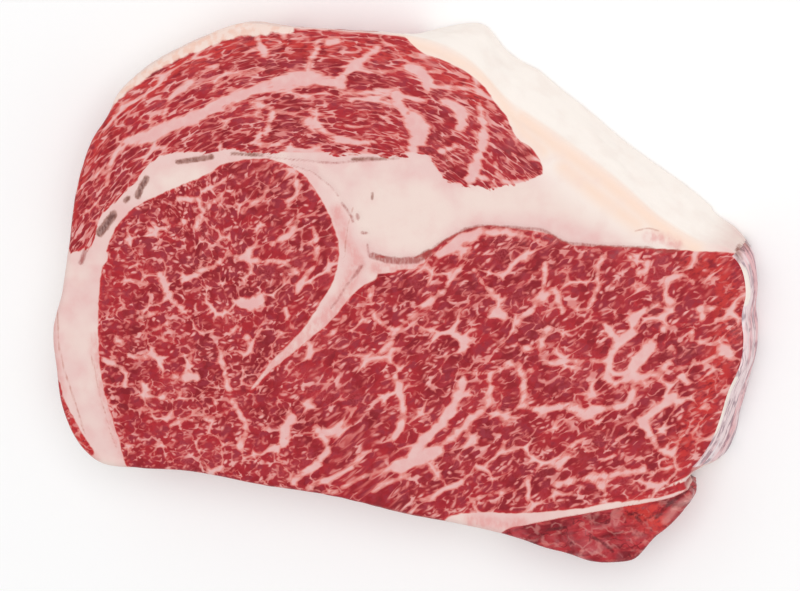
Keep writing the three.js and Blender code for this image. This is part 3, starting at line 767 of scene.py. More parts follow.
def slice_arrays():
    """Vertices, quads and triangles of the whole slice, in drawing millimetres. The cut face's
    border is the wall's top ring, and a strip of triangles, three for every coarse step, joins
    the wall's lowest ring to the underside's border."""
    out, turn = square_net(FACE_STEPS)
    rim, normal, _, _ = rim_at(turn)
    edge = rim - (TOP_RADIUS + ROOM) * normal
    face = HEART + out[..., None] * (edge - HEART)
    x, y = face[..., 0], face[..., 1]
    z = face_height(x, y, out)
    soft = smoothstep(1 - out, 0.0, RIM_SOFT)
    z = z + face_relief(x, y) * soft - RIM_DROP * (1 - soft)
    top = np.stack([x, y, z], -1).reshape(-1, 3)

    around = 4 * FACE_STEPS
    share, level = np.meshgrid(np.arange(around) / around, LEVELS[:-1])
    wall = np.stack(wall_place(share, level), -1).reshape(-1, 3)

    out, turn = square_net(UNDER_STEPS)
    foot = np.stack(wall_place(turn, np.zeros_like(turn)), -1)[..., :2]
    under = HEART + FOOT_INSET * out[..., None] * (foot - HEART)
    under = np.concatenate([under, np.zeros(under.shape[:2] + (1,))], -1).reshape(-1, 3)

    ring = len(top) + np.arange(len(wall)).reshape(len(LEVELS) - 1, around)
    ring = np.vstack([ring, net_border(FACE_STEPS)])
    after = np.roll(ring, -1, 1)
    wall_faces = np.stack([ring[:-1], after[:-1], after[1:], ring[1:]], -1).reshape(-1, 4)
    first = len(top) + len(wall)
    under_faces = net_faces(UNDER_STEPS, first)[:, ::-1]
    coarse = first + net_border(UNDER_STEPS)
    coarse_after = np.roll(coarse, -1)
    fine, middle, fine_after = ring[0, 0::2], ring[0, 1::2], np.roll(ring[0, 0::2], -1)
    strip = np.concatenate([np.stack([coarse, middle, fine], -1),
                            np.stack([coarse, coarse_after, middle], -1),
                            np.stack([coarse_after, fine_after, middle], -1)])
    vertices = np.concatenate([top, wall, under])
    return vertices, np.concatenate([net_faces(FACE_STEPS), wall_faces, under_faces]), strip


def box_middle():
    """Middle of the plain slice's box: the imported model's origin lies under it."""
    share, level = np.meshgrid(np.arange(BOX_AROUND) / BOX_AROUND, np.linspace(0, 1, BOX_LEVELS))
    rim, normal, flare, _ = rim_at(share)
    place = (rim + wall_out(flare, level)[..., None] * normal).reshape(-1, 2)
    return (place.min(0) + place.max(0)) / 2


MIDDLE = box_middle()
slice_points, slice_quads, slice_triangles = slice_arrays()
print("drawing's middle", MIDDLE.round(2), "mm;", len(slice_points), "points on the slice")

# %% [markdown]
# The pieces come from the slice by Boolean cuts with upright prisms on the muscles' lines. A
# modeller could also cut with the Knife tool, but a Boolean gives closed bodies, so each piece
# is meat all through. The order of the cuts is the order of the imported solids.

# %% Cutting the pieces
CURVE_STEPS = 8              # points on a line's curve between two of its drawn points
CUTTER_REACH = 3.0           # mm that a cutter stands out past both faces
SKIN_WIDTH = 1.7             # mm
INNER_AROUND, INNER_LEVELS = 1200, 26   # points round the inner slice, and its rings
SHARP_ANGLE = math.radians(55)


def new_mesh_object(name, vertices, faces):
    """Object with a mesh of these vertices, given in drawing millimetres."""
    placed = np.array(vertices, float)
    placed[:, :2] -= MIDDLE
    mesh = bpy.data.meshes.new(name)
    mesh.from_pydata((placed * MM).tolist(), [], faces)
    mesh.update()
    piece = bpy.data.objects.new(name, mesh)
    bpy.context.scene.collection.objects.link(piece)
    return piece


def prism(name, points):
    """Upright prism on a closed anticlockwise curve, with an n-gon at both ends."""
    line = closed_curve(points, CURVE_STEPS)[:, :2]
    count = len(line)
    lower = np.column_stack([line, np.full(count, -CUTTER_REACH)])
    upper = np.column_stack([line, np.full(count, THICKNESS + CUTTER_REACH)])
    k = np.arange(count)
    after = (k + 1) % count
    sides = np.stack([k, after, after + count, k + count], -1).tolist()
    ends = [k[::-1].tolist(), (k + count).tolist()]
    return new_mesh_object(name, np.vstack([lower, upper]), sides + ends)


def inner_slice():
    """The slice without its skin: the wall drawn in by the skin's width, past both faces."""
    share, level = np.meshgrid(np.arange(INNER_AROUND) / INNER_AROUND,
                               np.linspace(0, 1, INNER_LEVELS))
    rim, normal, flare, _ = rim_at(share)
    place = rim + (swollen(flare, level) - SKIN_WIDTH)[..., None] * normal
    z = level * THICKNESS + CUTTER_REACH * (2 * level - 1)
    rings = np.concatenate([place, z[..., None]], -1).reshape(-1, 3)
    number = np.arange(len(rings)).reshape(INNER_LEVELS, INNER_AROUND)
    after = np.roll(number, -1, 1)
    sides = np.stack([number[:-1], after[:-1], after[1:], number[1:]], -1).reshape(-1, 4)
    ends = [number[0, ::-1].tolist(), number[-1].tolist()]
    return new_mesh_object("inner_slice", rings, sides.tolist() + ends)


def cut(piece, operation, cutter):
    """Applies one Boolean to a piece and leaves the cutter as it was."""
    modifier = piece.modifiers.new("cut", "BOOLEAN")
    modifier.operation = operation
    modifier.solver = "MANIFOLD"
    modifier.object = cutter
    with bpy.context.temp_override(object=piece, active_object=piece, selected_objects=[piece]):
        bpy.ops.object.modifier_apply(modifier=modifier.name)
    return piece


whole = new_mesh_object("whole_slice", slice_points,
                        slice_quads.tolist() + slice_triangles.tolist())
cutters = {name: prism(name + "_cutter", line) for name, line in {
    "cap": CAP_MUSCLE, "eye": EYE_MUSCLE, "strip": RIB_STRIP, "seam": RIB_SEAM,
    "skin": SKIN_REACH}.items()}
cutters["inner"] = inner_slice()
skin_shell = cut(prism("skin_shell", SKIN_REACH), "DIFFERENCE", cutters["inner"])
cutters["shell"] = skin_shell


def piece_from_slice(name, keep, remove):
    """Copy of the whole slice, kept inside one cutter and then cut by others."""
    piece = bpy.data.objects.new(name, whole.data.copy())
    piece.data.name = name
    bpy.context.scene.collection.objects.link(piece)
    if keep:
        cut(piece, "INTERSECT", cutters[keep])
    for other in remove:
        cut(piece, "DIFFERENCE", cutters[other])
    piece.data.shade_smooth()
    piece.data.set_sharp_from_angle(angle=SHARP_ANGLE)
    return piece


pieces = {
    "cap_muscle": piece_from_slice("cap_muscle_meat", "cap", []),
    "eye_muscle": piece_from_slice("eye_muscle_meat", "eye", ["shell"]),
    "rib_strip": piece_from_slice("rib_strip_meat", "strip", []),
    "silverskin": piece_from_slice("silverskin_sheet", "shell", []),
    "rib_seam": piece_from_slice("rib_seam_membrane", "seam", ["eye", "strip", "shell"]),
    "fat": piece_from_slice("fat_body", None, ["cap", "eye", "strip", "seam", "shell"]),
}
for spare in [whole, *cutters.values()]:
    bpy.data.objects.remove(spare)
for node_name, piece in pieces.items():
    print(node_name, len(piece.data.vertices), "points,",
          sum(len(p.vertices) - 2 for p in piece.data.polygons), "triangles")

# %% [markdown]
# Each piece then carries what the drawing says at its points. Meat has a grain: in the cap it
# runs along the crescent, in the long muscle it climbs to the right. So one attribute holds
# coordinates laid along the grain and shortened that way, and marbling drawn in them comes out
# in streaks. Upright they are shortened too, so that the pattern changes slowly down the wall.

# %% Attributes along the grain
CAP_CENTRE = np.array([-15.0, -27.0])   # mm, the middle of the circle that the crescent follows
CAP_RADIUS = 85.0                       # mm
CAP_STRETCH = 2.3                       # how much longer than wide the marbling is drawn out
LONG_ANGLE, LONG_STRETCH = math.radians(32), 1.7
ROUND_ANGLE, ROUND_STRETCH = math.radians(18), 1.25
STRIP_ANGLE, STRIP_STRETCH = math.radians(14), 2.5
MEETING = np.array([-30.0, -28.0])      # mm, where the eye's two muscles meet
MEETING_SLANT = 0.55                    # mm that their border runs left for each mm up
ROUND_TO_LONG = (-52.0, -20.0)          # mm along x, where the grain starts and ends to change
UPRIGHT = 0.3                           # share to which heights are shortened
LEAN_OF_VEINS = (0.16, -0.10)           # mm that veins lean over for each mm down
FRINGE = 4.5                            # mm of thin rim fat that lean shines through
FRINGE_DEPTH = (5, 9)                   # mm in from the rim, where that starts to end and ends
FRINGE_RIGHT = (12, 2)                  # mm along x, where it has ended and where it is whole
RIM_FAT = 0.7                           # mm of rim that stay fat all the same
WALL_START = (0.9, 2.4)                 # mm below the cut face, where the wall's look sets in
WALL_FOOT = (0.02, 1.2)                 # mm above the board, where it is gone and whole
CROWN_REACH = -60                       # mm in from the rim, where the crown's fall starts
MARK_FADES = {                          # mm past a stroke's edge, where a mark is whole and gone
    "cream": (-1.0, 5.0), "bright": (-1.0, 4.0), "white": (-4.0, 6.0), "film": (-0.8, 1.2),
    "peach": (-1.5, 3.0), "rose": (-0.6, 1.8), "flap": (-0.4, 0.6),
}
CAP_APART = 200                         # keeps the cap's coordinates clear of the eye's


def turned(x, y, angle, stretch):
    """Coordinates turned to an angle and shortened along it, measured from the meeting."""
    dx, dy = x - MEETING[0], y - MEETING[1]
    along = (dx * math.cos(angle) + dy * math.sin(angle)) / stretch
    return along, dy * math.cos(angle) - dx * math.sin(angle)


def grain_at(x, y, z):
    """Coordinates along the grain: round a circle in the cap, and turned in the other muscles,
    with a smooth change from the round muscle to the long one."""
    long_part = smoothstep(x + MEETING_SLANT * y, *ROUND_TO_LONG)
    u0, v0 = turned(x, y, ROUND_ANGLE, ROUND_STRETCH)
    u1, v1 = turned(x, y, LONG_ANGLE, LONG_STRETCH)
    u, v = u0 + long_part * (u1 - u0), v0 + long_part * (v1 - v0)
    us, vs = turned(x, y, STRIP_ANGLE, STRIP_STRETCH)
    on_strip = read(in_strip, x, y) > -0.5
    u, v = np.where(on_strip, us, u), np.where(on_strip, vs, v)
    dx, dy = x - CAP_CENTRE[0], y - CAP_CENTRE[1]
    in_cap_here = read(in_cap, x, y) > read(in_eye, x, y)
    around = -np.arctan2(dy, dx) * CAP_RADIUS / CAP_STRETCH
    u = np.where(in_cap_here, around + CAP_APART, u)
    v = np.where(in_cap_here, np.hypot(dx, dy), v)
    return np.stack([u, v, UPRIGHT * z], -1)


def attributes_at(x, y, z):
    """What the finishes read at a place. grain: the coordinates along the grain. lean: how deep in
    lean, how far past a vein, and whether it is the cap. marks: how far past a membrane line, the
    painted shadow line along the lower rim among them, how far past a stain, and how creamy. tone:
    how bright, and how far down the wall. shade: how white, how filmy, and whether it is the rib
    strip. warm: how peachy, how rosy, and how far past a thin line. fold: how far past a slit of
    the rib strip, painted as shade, and past a ridge, painted as highlight, and whether it is its
    flap."""
    def past_mark(name):
        return read(past[name], x, y)

    def shown(name):
        return 1 - smoothstep(past_mark(name), *MARK_FADES[name])

    depth, nothing = THICKNESS - z, np.zeros_like(z)
    vx, vy = x - LEAN_OF_VEINS[0] * depth, y - LEAN_OF_VEINS[1] * depth
    cap, eye, strip = read(in_cap, x, y), read(in_eye, x, y), read(in_strip, x, y)
    out = read(in_slice, x, y)
    fringe = FRINGE * (1 - smoothstep(out, *FRINGE_DEPTH)) * smoothstep(x, *FRINGE_RIGHT)
    cap = np.maximum(cap, np.minimum(cap + fringe, out - RIM_FAT))
    ragged = (cap > eye) & (cap > strip)
    lean = np.minimum(np.maximum(cap, eye), past_mark("trim"))
    lean = np.maximum(lean, np.maximum(strip, -past_mark("sliver")))
    plain = face_height(x, y, 0.0) - CROWN * smoothstep(-out, CROWN_REACH, 0) ** 2
    side = smoothstep(plain - z, *WALL_START) * smoothstep(z, *WALL_FOOT)
    on_strip = smoothstep(strip, -0.4, 0.4)
    groups = {
        "lean": (lean, read(past["vein"], vx, vy), ragged),
        "marks": (past_mark("membrane"), past_mark("stain"), shown("cream")),
        "tone": (shown("bright"), side, nothing),
        "shade": (shown("white"), shown("film"), on_strip),
        "warm": (shown("peach"), shown("rose"), past_mark("thin")),
        "fold": (past_mark("slit_shade"), past_mark("ridge_highlight"), shown("flap")),
    }
    return {"grain": grain_at(vx, vy, z)} | {n: np.stack(g, -1) for n, g in groups.items()}


def dress_with_attributes(piece):
    """Writes the attributes as vectors on the piece's points, and gives their names."""
    place = np.empty(len(piece.data.vertices) * 3, np.float32)
    piece.data.vertices.foreach_get("co", place)
    x, y, z = (place.reshape(-1, 3) / MM + [*MIDDLE, 0]).T
    given = attributes_at(x, y, z)
    for name, values in given.items():
        layer = piece.data.attributes.new(name, "FLOAT_VECTOR", "POINT")
        layer.data.foreach_set("vector", values.astype(np.float32).ravel())
    return list(given)


for node_name, piece in pieces.items():
    print(node_name, "attributes:", dress_with_attributes(piece))

# %% [markdown]
# The finishes are node trees. A small class makes them readable: a wire stands for one output
# of a node, and adding or multiplying wires adds the Math nodes.

# %% Wires
GRAIN_CORE, GRAIN_END = 0.10, 1.40      # where a grain starts to fade and has faded, in half widths


class Wire:
    """One output of a node. Sums, products and the like of wires are Math nodes."""

    def __init__(self, socket):
        self.socket = socket
        self.tree = socket.node.id_data

    def __add__(self, other):
        return calc("ADD", self, other)

    def __sub__(self, other):
        return calc("SUBTRACT", self, other)

    def __mul__(self, other):
        return calc("MULTIPLY", self, other)

    def __truediv__(self, other):
        return calc("DIVIDE", self, other)

    def __rsub__(self, other):
        return calc("SUBTRACT", other, self)

    __radd__, __rmul__ = __add__, __mul__


def join(socket, value):
    """Feeds a socket from a wire, or sets the socket's own value."""
    if isinstance(value, Wire):
        value.tree.links.new(value.socket, socket)
    else:
        socket.default_value = value


def add_node(tree, kind, inputs=(), **settings):
    """Adds a node, sets it up and feeds its inputs, given as (name or number, value) pairs."""
    made = tree.nodes.new("ShaderNode" + kind)
    for name, value in settings.items():
        setattr(made, name, value)
    for key, value in inputs:
        join(made.inputs[key], value)
    return made


def tree_of(*values):
    """The node tree of the first wire among these."""
    return next(v for v in values if isinstance(v, Wire)).tree


def calc(operation, *values):
    """A Math node on wires and numbers."""
    made = add_node(tree_of(*values), "Math", enumerate(values), operation=operation)
    return Wire(made.outputs[0])


def largest(*values):
    """The largest of several wires."""
    top = values[0]
    for value in values[1:]:
        top = calc("MAXIMUM", top, value)
    return top


def step(value, low, high):
    """0 where value is low and 1 where it is high, with a smooth change between. Low may be the
    larger of the two, and both may be wires."""
    made = add_node(value.tree, "MapRange", [("Value", value), ("From Min", low), ("From Max", high)],
                    interpolation_type="SMOOTHSTEP")
    return Wire(made.outputs[0])


def blend(share, first, second):
    """Number between two numbers."""
    tree = tree_of(share, first, second)
    return Wire(add_node(tree, "Mix", [(0, share), (2, first), (3, second)]).outputs[0])


def mix(share, first, second):
    """Colour between two colours."""
    tree = tree_of(share, first, second)
    first, second = [c if isinstance(c, Wire) else (*c, 1.0) for c in (first, second)]
    made = add_node(tree, "Mix", [(0, share), (6, first), (7, second)], data_type="RGBA")
    return Wire(made.outputs[2])


def vector_calc(operation, *values, scale=None):
    """A Vector Math node on wires and triples."""
    made = add_node(tree_of(*values), "VectorMath", enumerate(values), operation=operation)
    if scale is not None:
        join(made.inputs["Scale"], scale)
    return Wire(made.outputs[0])


def drawn_out(place, shares):
    """The place with x, y and z times these shares. A share below 1 draws a pattern out."""
    return vector_calc("MULTIPLY", place, shares)


def object_place(tree):
    """Place on the meat in millimetres."""
    return vector_calc("SCALE", Wire(add_node(tree, "TexCoord").outputs["Object"]), scale=1 / MM)


def attribute(tree, name):
    """The three numbers that a vector attribute holds, and the vector itself."""
    made = add_node(tree, "Attribute", attribute_name=name)
    parts = add_node(tree, "SeparateXYZ", [(0, Wire(made.outputs["Vector"]))])
    return [Wire(out) for out in parts.outputs] + [Wire(made.outputs["Vector"])]


def noise_node(place, size, detail=2.0, roughness=0.5):
    """Noise with lumps of about this size, in the units of the place."""
    return add_node(place.tree, "TexNoise", [("Vector", place), ("Scale", 1 / size),
                                             ("Detail", detail), ("Roughness", roughness)])


def noise(place, size, detail=2.0, roughness=0.5, offset=0.0):
    """Noise from 0 to 1. An offset gives another noise of the same kind."""
    if offset:
        place = vector_calc("ADD", place, (offset, offset, offset))
    return Wire(noise_node(place, size, detail, roughness).outputs["Fac"])


def wander(place, size, reach, detail=2.0):
    """The place, moved about by noise of this size as far as this reach each way."""
    moved = Wire(noise_node(place, size, detail).outputs["Color"])
    away = vector_calc("SUBTRACT", moved, (0.5, 0.5, 0.5))
    return vector_calc("ADD", place, vector_calc("SCALE", away, scale=2 * reach))


def centres(place, size, feature="F1"):
    """Random centres about one size apart, as a Voronoi node, and three random numbers for each.
    They stand in a plane, so their cells run upright through the meat."""
    scale = calc("DIVIDE", 1.0, size) if isinstance(size, Wire) else 1 / size
    made = add_node(place.tree, "TexVoronoi", [("Vector", place), ("Scale", scale)],
                    feature=feature, voronoi_dimensions="2D")
    if feature == "DISTANCE_TO_EDGE":
        return made, None
    number = add_node(place.tree, "SeparateColor", [(0, Wire(made.outputs["Color"]))])
    return made, [Wire(output) for output in number.outputs]


def grains(place, size, half_long, half_wide, spread, share, offset=0.0):
    """Short grains at random centres about one size apart: an ellipse with these half widths,
    from 1 in its middle softly down to 0 a little outside it. Each is turned at random by up to
    half the spread, and only a share of the centres has one."""
    if offset:
        place = vector_calc("ADD", place, (offset, offset, 0.0))
    made, chances = centres(place, size)
    away = vector_calc("SUBTRACT", place, Wire(made.outputs["Position"]))
    angle = (chances[0] - 0.5) * spread
    facing = add_node(place.tree, "VectorRotate", [("Vector", away), ("Angle", angle)],
                      rotation_type="Z_AXIS")
    shape = drawn_out(Wire(facing.outputs[0]), (1 / half_long, 1 / half_wide, 0.0))
    length = add_node(place.tree, "VectorMath", [(0, shape)], operation="LENGTH")
    body = step(Wire(length.outputs["Value"]), GRAIN_END, GRAIN_CORE)
    return body * step(chances[1], 1.0 - share, 1.08 - share)


def new_group(name, outputs):
    """An empty node group, and the node at its end. outputs maps a name to a socket type."""
    group = bpy.data.node_groups.new(name, "ShaderNodeTree")
    for socket_name, kind in outputs.items():
        group.interface.new_socket(socket_name, in_out="OUTPUT", socket_type="NodeSocket" + kind)
    return group, group.nodes.new("NodeGroupOutput")


def give(end, values):
    """Feeds a group's end from wires given by name."""
    for name, value in values.items():
        join(end.inputs[name], value)


# %% [markdown]
# Marbling is fat in the seams between bundles of muscle. Random cells stand for the bundles. The
# fat fills the corners where cells meet, and reaches in thin arms along their borders. A bundle
# holds finer threads, marbled in the same way but fainter, with curls and short grains of fat
# among them. The drawn veins are laid over this, and the bundles beside them bite into their
# edges.

# %% Marbling
BUNDLE_SIZE = 4.0            # mm
BUNDLE_LEVEL, CAP_BUNDLE = 0.70, -0.02  # how sparse fat is between bundles, and how much less so in the cap
THREAD_SIZE, CAP_THREAD_SIZE = 2.2, 1.45            # mm
THREAD_LEVEL, CAP_THREAD = 0.57, 0.08   # the same two for the fat between threads
CAP_SQUEEZE = 0.70           # how much thinner the cap's streaks are than the eye's bundles
CAP_INNER = 74.0             # mm from the middle of the cap's circle to its ragged inner edge
CAP_RAGGED = 14.0            # mm further out, where its edge is clean again


def marbled(place, size, level, slack, soft, arms):
    """Fat between the cells of one size: where the distance to the cell's centre, less a share
    (arms) of the distance to its edge, is above a level. Also gives by how much it is above, the
    distance to the centre, and the cell's own random number."""
    middle, chances = centres(place, size)
    border, _ = centres(place, size, "DISTANCE_TO_EDGE")
    centre = Wire(middle.outputs["Distance"])
    over = centre - Wire(border.outputs["Distance"]) * arms - level + slack
    return step(over, -soft, soft), over, centre, chances[0]


def build_marbling():
    """Group: where fat shows in the cut. Fat is 1 in a gap between bundles and Rich is 1 well
    inside one, Thread is 1 in the finer and fainter marbling and in its curls, Dash is 1 in short
    grains of fat, Lean is 1 inside a muscle, Near is 1 in lean close to fat, and Strand is a
    random number for each strand of meat."""
    group, end = new_group("marbling", dict.fromkeys(
        ("Fat", "Rich", "Thread", "Dash", "Lean", "Near", "Strand"), "Float"))
    depth, past_vein, cap, _ = attribute(group, "lean")
    u, v, w = attribute(group, "grain")[:3]
    narrow = v / blend(cap, 1.0, CAP_SQUEEZE)
    squeezed = add_node(group, "CombineXYZ", [(0, u), (1, narrow), (2, w)])
    place = Wire(squeezed.outputs[0])

    fine = wander(wander(place, 3.2, 1.7, 1.0), 0.7, 0.30, 1.0)
    patchy = noise(place, 5.0, 1.0, offset=37) - 0.5
    thread, _, small, strand = marbled(
        fine, blend(cap, THREAD_SIZE, CAP_THREAD_SIZE), THREAD_LEVEL,
        patchy * 0.9 + cap * CAP_THREAD, soft=0.24, arms=0.55)
    thread = thread * step(noise(place, 1.7, 0.0, offset=71), 0.36, blend(cap, 0.52, 0.46))
    curl = calc("ABSOLUTE", noise(fine, 3.0, 0.0, offset=17) - 0.5)
    curl = step(curl, 0.100, 0.0) * step(noise(place, 1.7, 0.0, offset=29), 0.47, 0.62)
    thread = largest(thread, curl * 0.72)
    lobule = small - 0.5

    swept = wander(wander(place, 7.0, 2.4, 1.0), 1.3, 0.50, 2.0)
    slow = noise(place, 9.0, 1.0, offset=11) - 0.5
    bundle, bundle_over, centre, _ = marbled(
        swept, BUNDLE_SIZE, BUNDLE_LEVEL,
        slow * 0.8 + cap * CAP_BUNDLE + lobule * 0.22, soft=0.12, arms=0.7)

    ragged = noise(place, 0.9, 2.0, offset=57) - 0.5
    bite = (centre - 0.5) * blend(cap, 1.2, 1.5) + lobule * blend(cap, 1.3, 1.0) + ragged * 0.7
    vein_over = bite - past_vein - 0.20
    vein = step(vein_over, -0.46, 0.40)
    loose = cap * step(v, CAP_INNER + CAP_RAGGED, CAP_INNER)
    edge_bite = ((centre - 0.45) * blend(loose, 0.3, 2.6) + lobule * blend(loose, 0.4, 1.4)
                 + ragged * blend(loose, 0.3, 0.8))
    inner = depth - edge_bite
    lean = step(inner, -0.20, 0.22)

    curled = wander(place, 1.7, 0.42, 1.0)
    crowd = 0.50 + 0.50 * step(noise(place, 4.2, 1.0, offset=83), 0.44, 0.62)
    dash = largest(grains(curled, 2.30, 1.15, 0.50, 2.0, 0.50),
                   grains(curled, 1.60, 0.70, 0.38, 2.6, 0.45, offset=31.0) * 0.85)
    dash = dash * crowd * (1.0 - cap * 0.25)

    near = largest(step(bundle_over, -0.22, -0.02), step(vein_over, -1.0, -0.1),
                   step(inner, 1.3, 0.1))
    rich = largest(step(bundle_over, 0.02, 0.22), step(vein_over, 0.0, 0.75))
    give(end, {"Fat": largest(bundle, vein, 1.0 - lean), "Rich": rich, "Thread": thread,
               "Dash": dash, "Lean": lean, "Near": near, "Strand": strand})
    return group


marbling = build_marbling()
print("marbling group of", len(marbling.nodes), "nodes")

# %% [markdown]
# The meat's colours are linear values, as Blender takes them: crimson lean that is brighter next
# to fat and duller inside a bundle, pink fat in the marbling, white to cream fat in the cap, the
# kernel and the wall, brown-pink membranes and grey-brown stains. The membranes' brown also paints
# the shadow line along the lower rim.

# %% Colours of the cut
LEAN_DEEP = (0.240, 0.010, 0.018)
LEAN_MID = (0.390, 0.017, 0.027)
LEAN_BRIGHT = (0.560, 0.028, 0.032)
LEAN_DULL = (0.300, 0.027, 0.045)
LEAN_HAZE = (0.480, 0.070, 0.085)
LEAN_ORANGE = (0.640, 0.045, 0.036)
FLECK_RED = (0.620, 0.115, 0.105)
FLECK_PINK = (0.790, 0.350, 0.325)
FLECK_PALE = (0.810, 0.430, 0.405)
FAT_PINK = (0.775, 0.430, 0.415)
FAT_EDGE = (0.740, 0.240, 0.200)
FAT_ROSE = (0.740, 0.300, 0.285)
FAT_SEAM = (0.800, 0.560, 0.530)
FAT_CREAM = (0.845, 0.680, 0.620)
FAT_WHITE = (0.912, 0.808, 0.745)
FAT_WALL = (0.965, 0.890, 0.830)
PEACH = (0.930, 0.690, 0.560)
# Brown of the membranes, also used for the painted shadow line along the lower rim.
MEMBRANE_AND_SHADOW_BROWN = (0.350, 0.062, 0.054)
STAIN_GREY = (0.330, 0.120, 0.085)
STAIN_BROWN = (0.110, 0.022, 0.016)
THIN_BROWN = (0.520, 0.190, 0.140)
FILM_PINK = (0.720, 0.430, 0.400)
RIM_FILM = (0.880, 0.610, 0.510)
LEAN_ROUGH, FAT_ROUGHER, WALL_ROUGHER, WET_SMOOTHER = 0.46, 0.10, 0.10, 0.14
FAT_RAISED, LINE_SUNK = 0.10, 0.12      # shares of the bump's reach


def lean_colour(place, grain, veins, bright):
    """Lean: dull and bright lobes a few millimetres wide, brighter next to fat and along the
    drawn bright places, with fibres in it. Flecks of fat are salmon at their rims and pink in
    their middles."""
    slow, middling, fine = noise(place, 14.0), noise(place, 2.6, 2.0), noise(place, 0.45, 1.0)
    fibre = noise(drawn_out(grain, (0.8, 1.0, 1.0)), 0.85, 2.0)
    hazy = step(noise(place, 11.0, 1.0, offset=43), 0.52, 0.70)
    light = step(noise(grain, 2.4, 1.0, offset=19), 0.38, 0.62)
    red = mix(step(slow + 0.6 * middling, 0.60, 0.95), LEAN_DEEP, LEAN_MID)
    red = mix(step(middling, 0.46, 0.62) * 0.75, red, LEAN_DULL)
    red = mix(hazy * step(fine, 0.30, 0.65) * 0.45, red, LEAN_HAZE)
    red = mix(veins["Near"] * step(middling + 0.4 * fine, 0.40, 0.85) * 0.80, red, LEAN_BRIGHT)
    red = mix(bright * step(fibre, 0.35, 0.60) * 0.7, red, LEAN_ORANGE)
    red = mix(step(veins["Strand"], 0.35, 0.9) * 0.25, red, LEAN_BRIGHT)
    red = mix(step(fibre, 0.46, 0.32) * 0.35, red, LEAN_DEEP)
    fleck = largest(veins["Thread"] * 0.85, veins["Dash"])
    red = mix(step(fleck, 0.02, 0.60) * 0.75, red, FLECK_RED)
    pale = mix(light, FLECK_PINK, FLECK_PALE)
    return mix(step(fleck, 0.35, 1.00) * (0.60 + 0.35 * light), red, pale)


def fat_colour(place, depth, rich, cream, white, peach, rose):
    """Fat: pink where it lies inside a muscle and palest well inside a vein, less pink in the
    seams, and cream, white, peach or rose where it was drawn so. Slow noise makes it cloudy."""
    cloud = step(noise(place, 5.0, 3.0, offset=3), 0.40, 0.75)
    inner = mix(step(noise(place, 2.4, 3.0), 0.35, 0.75) * 0.5, FAT_PINK, FAT_SEAM)
    pink = mix(rich, FLECK_PINK, inner)
    seam = mix(cloud * 0.45, FAT_SEAM, FAT_PINK)
    seam = mix(step(noise(place, 9.0, offset=9), 0.45, 0.70) * 0.6, seam, FAT_CREAM)
    seam = mix(cream * (0.95 - 0.25 * cloud), seam, FAT_CREAM)
    seam = mix(white * (0.95 - 0.30 * cloud), seam, FAT_WHITE)
    seam = mix(peach * (0.85 - 0.25 * cloud), seam, PEACH)
    streaked = step(noise(drawn_out(place, (1.0, 0.6, 0.3)), 1.3, 3.0, offset=61), 0.30, 0.66)
    seam = mix(rose * (0.20 + 0.45 * streaked), seam, FAT_ROSE)
    return mix(step(depth, 0.3, -0.3), pink, seam)


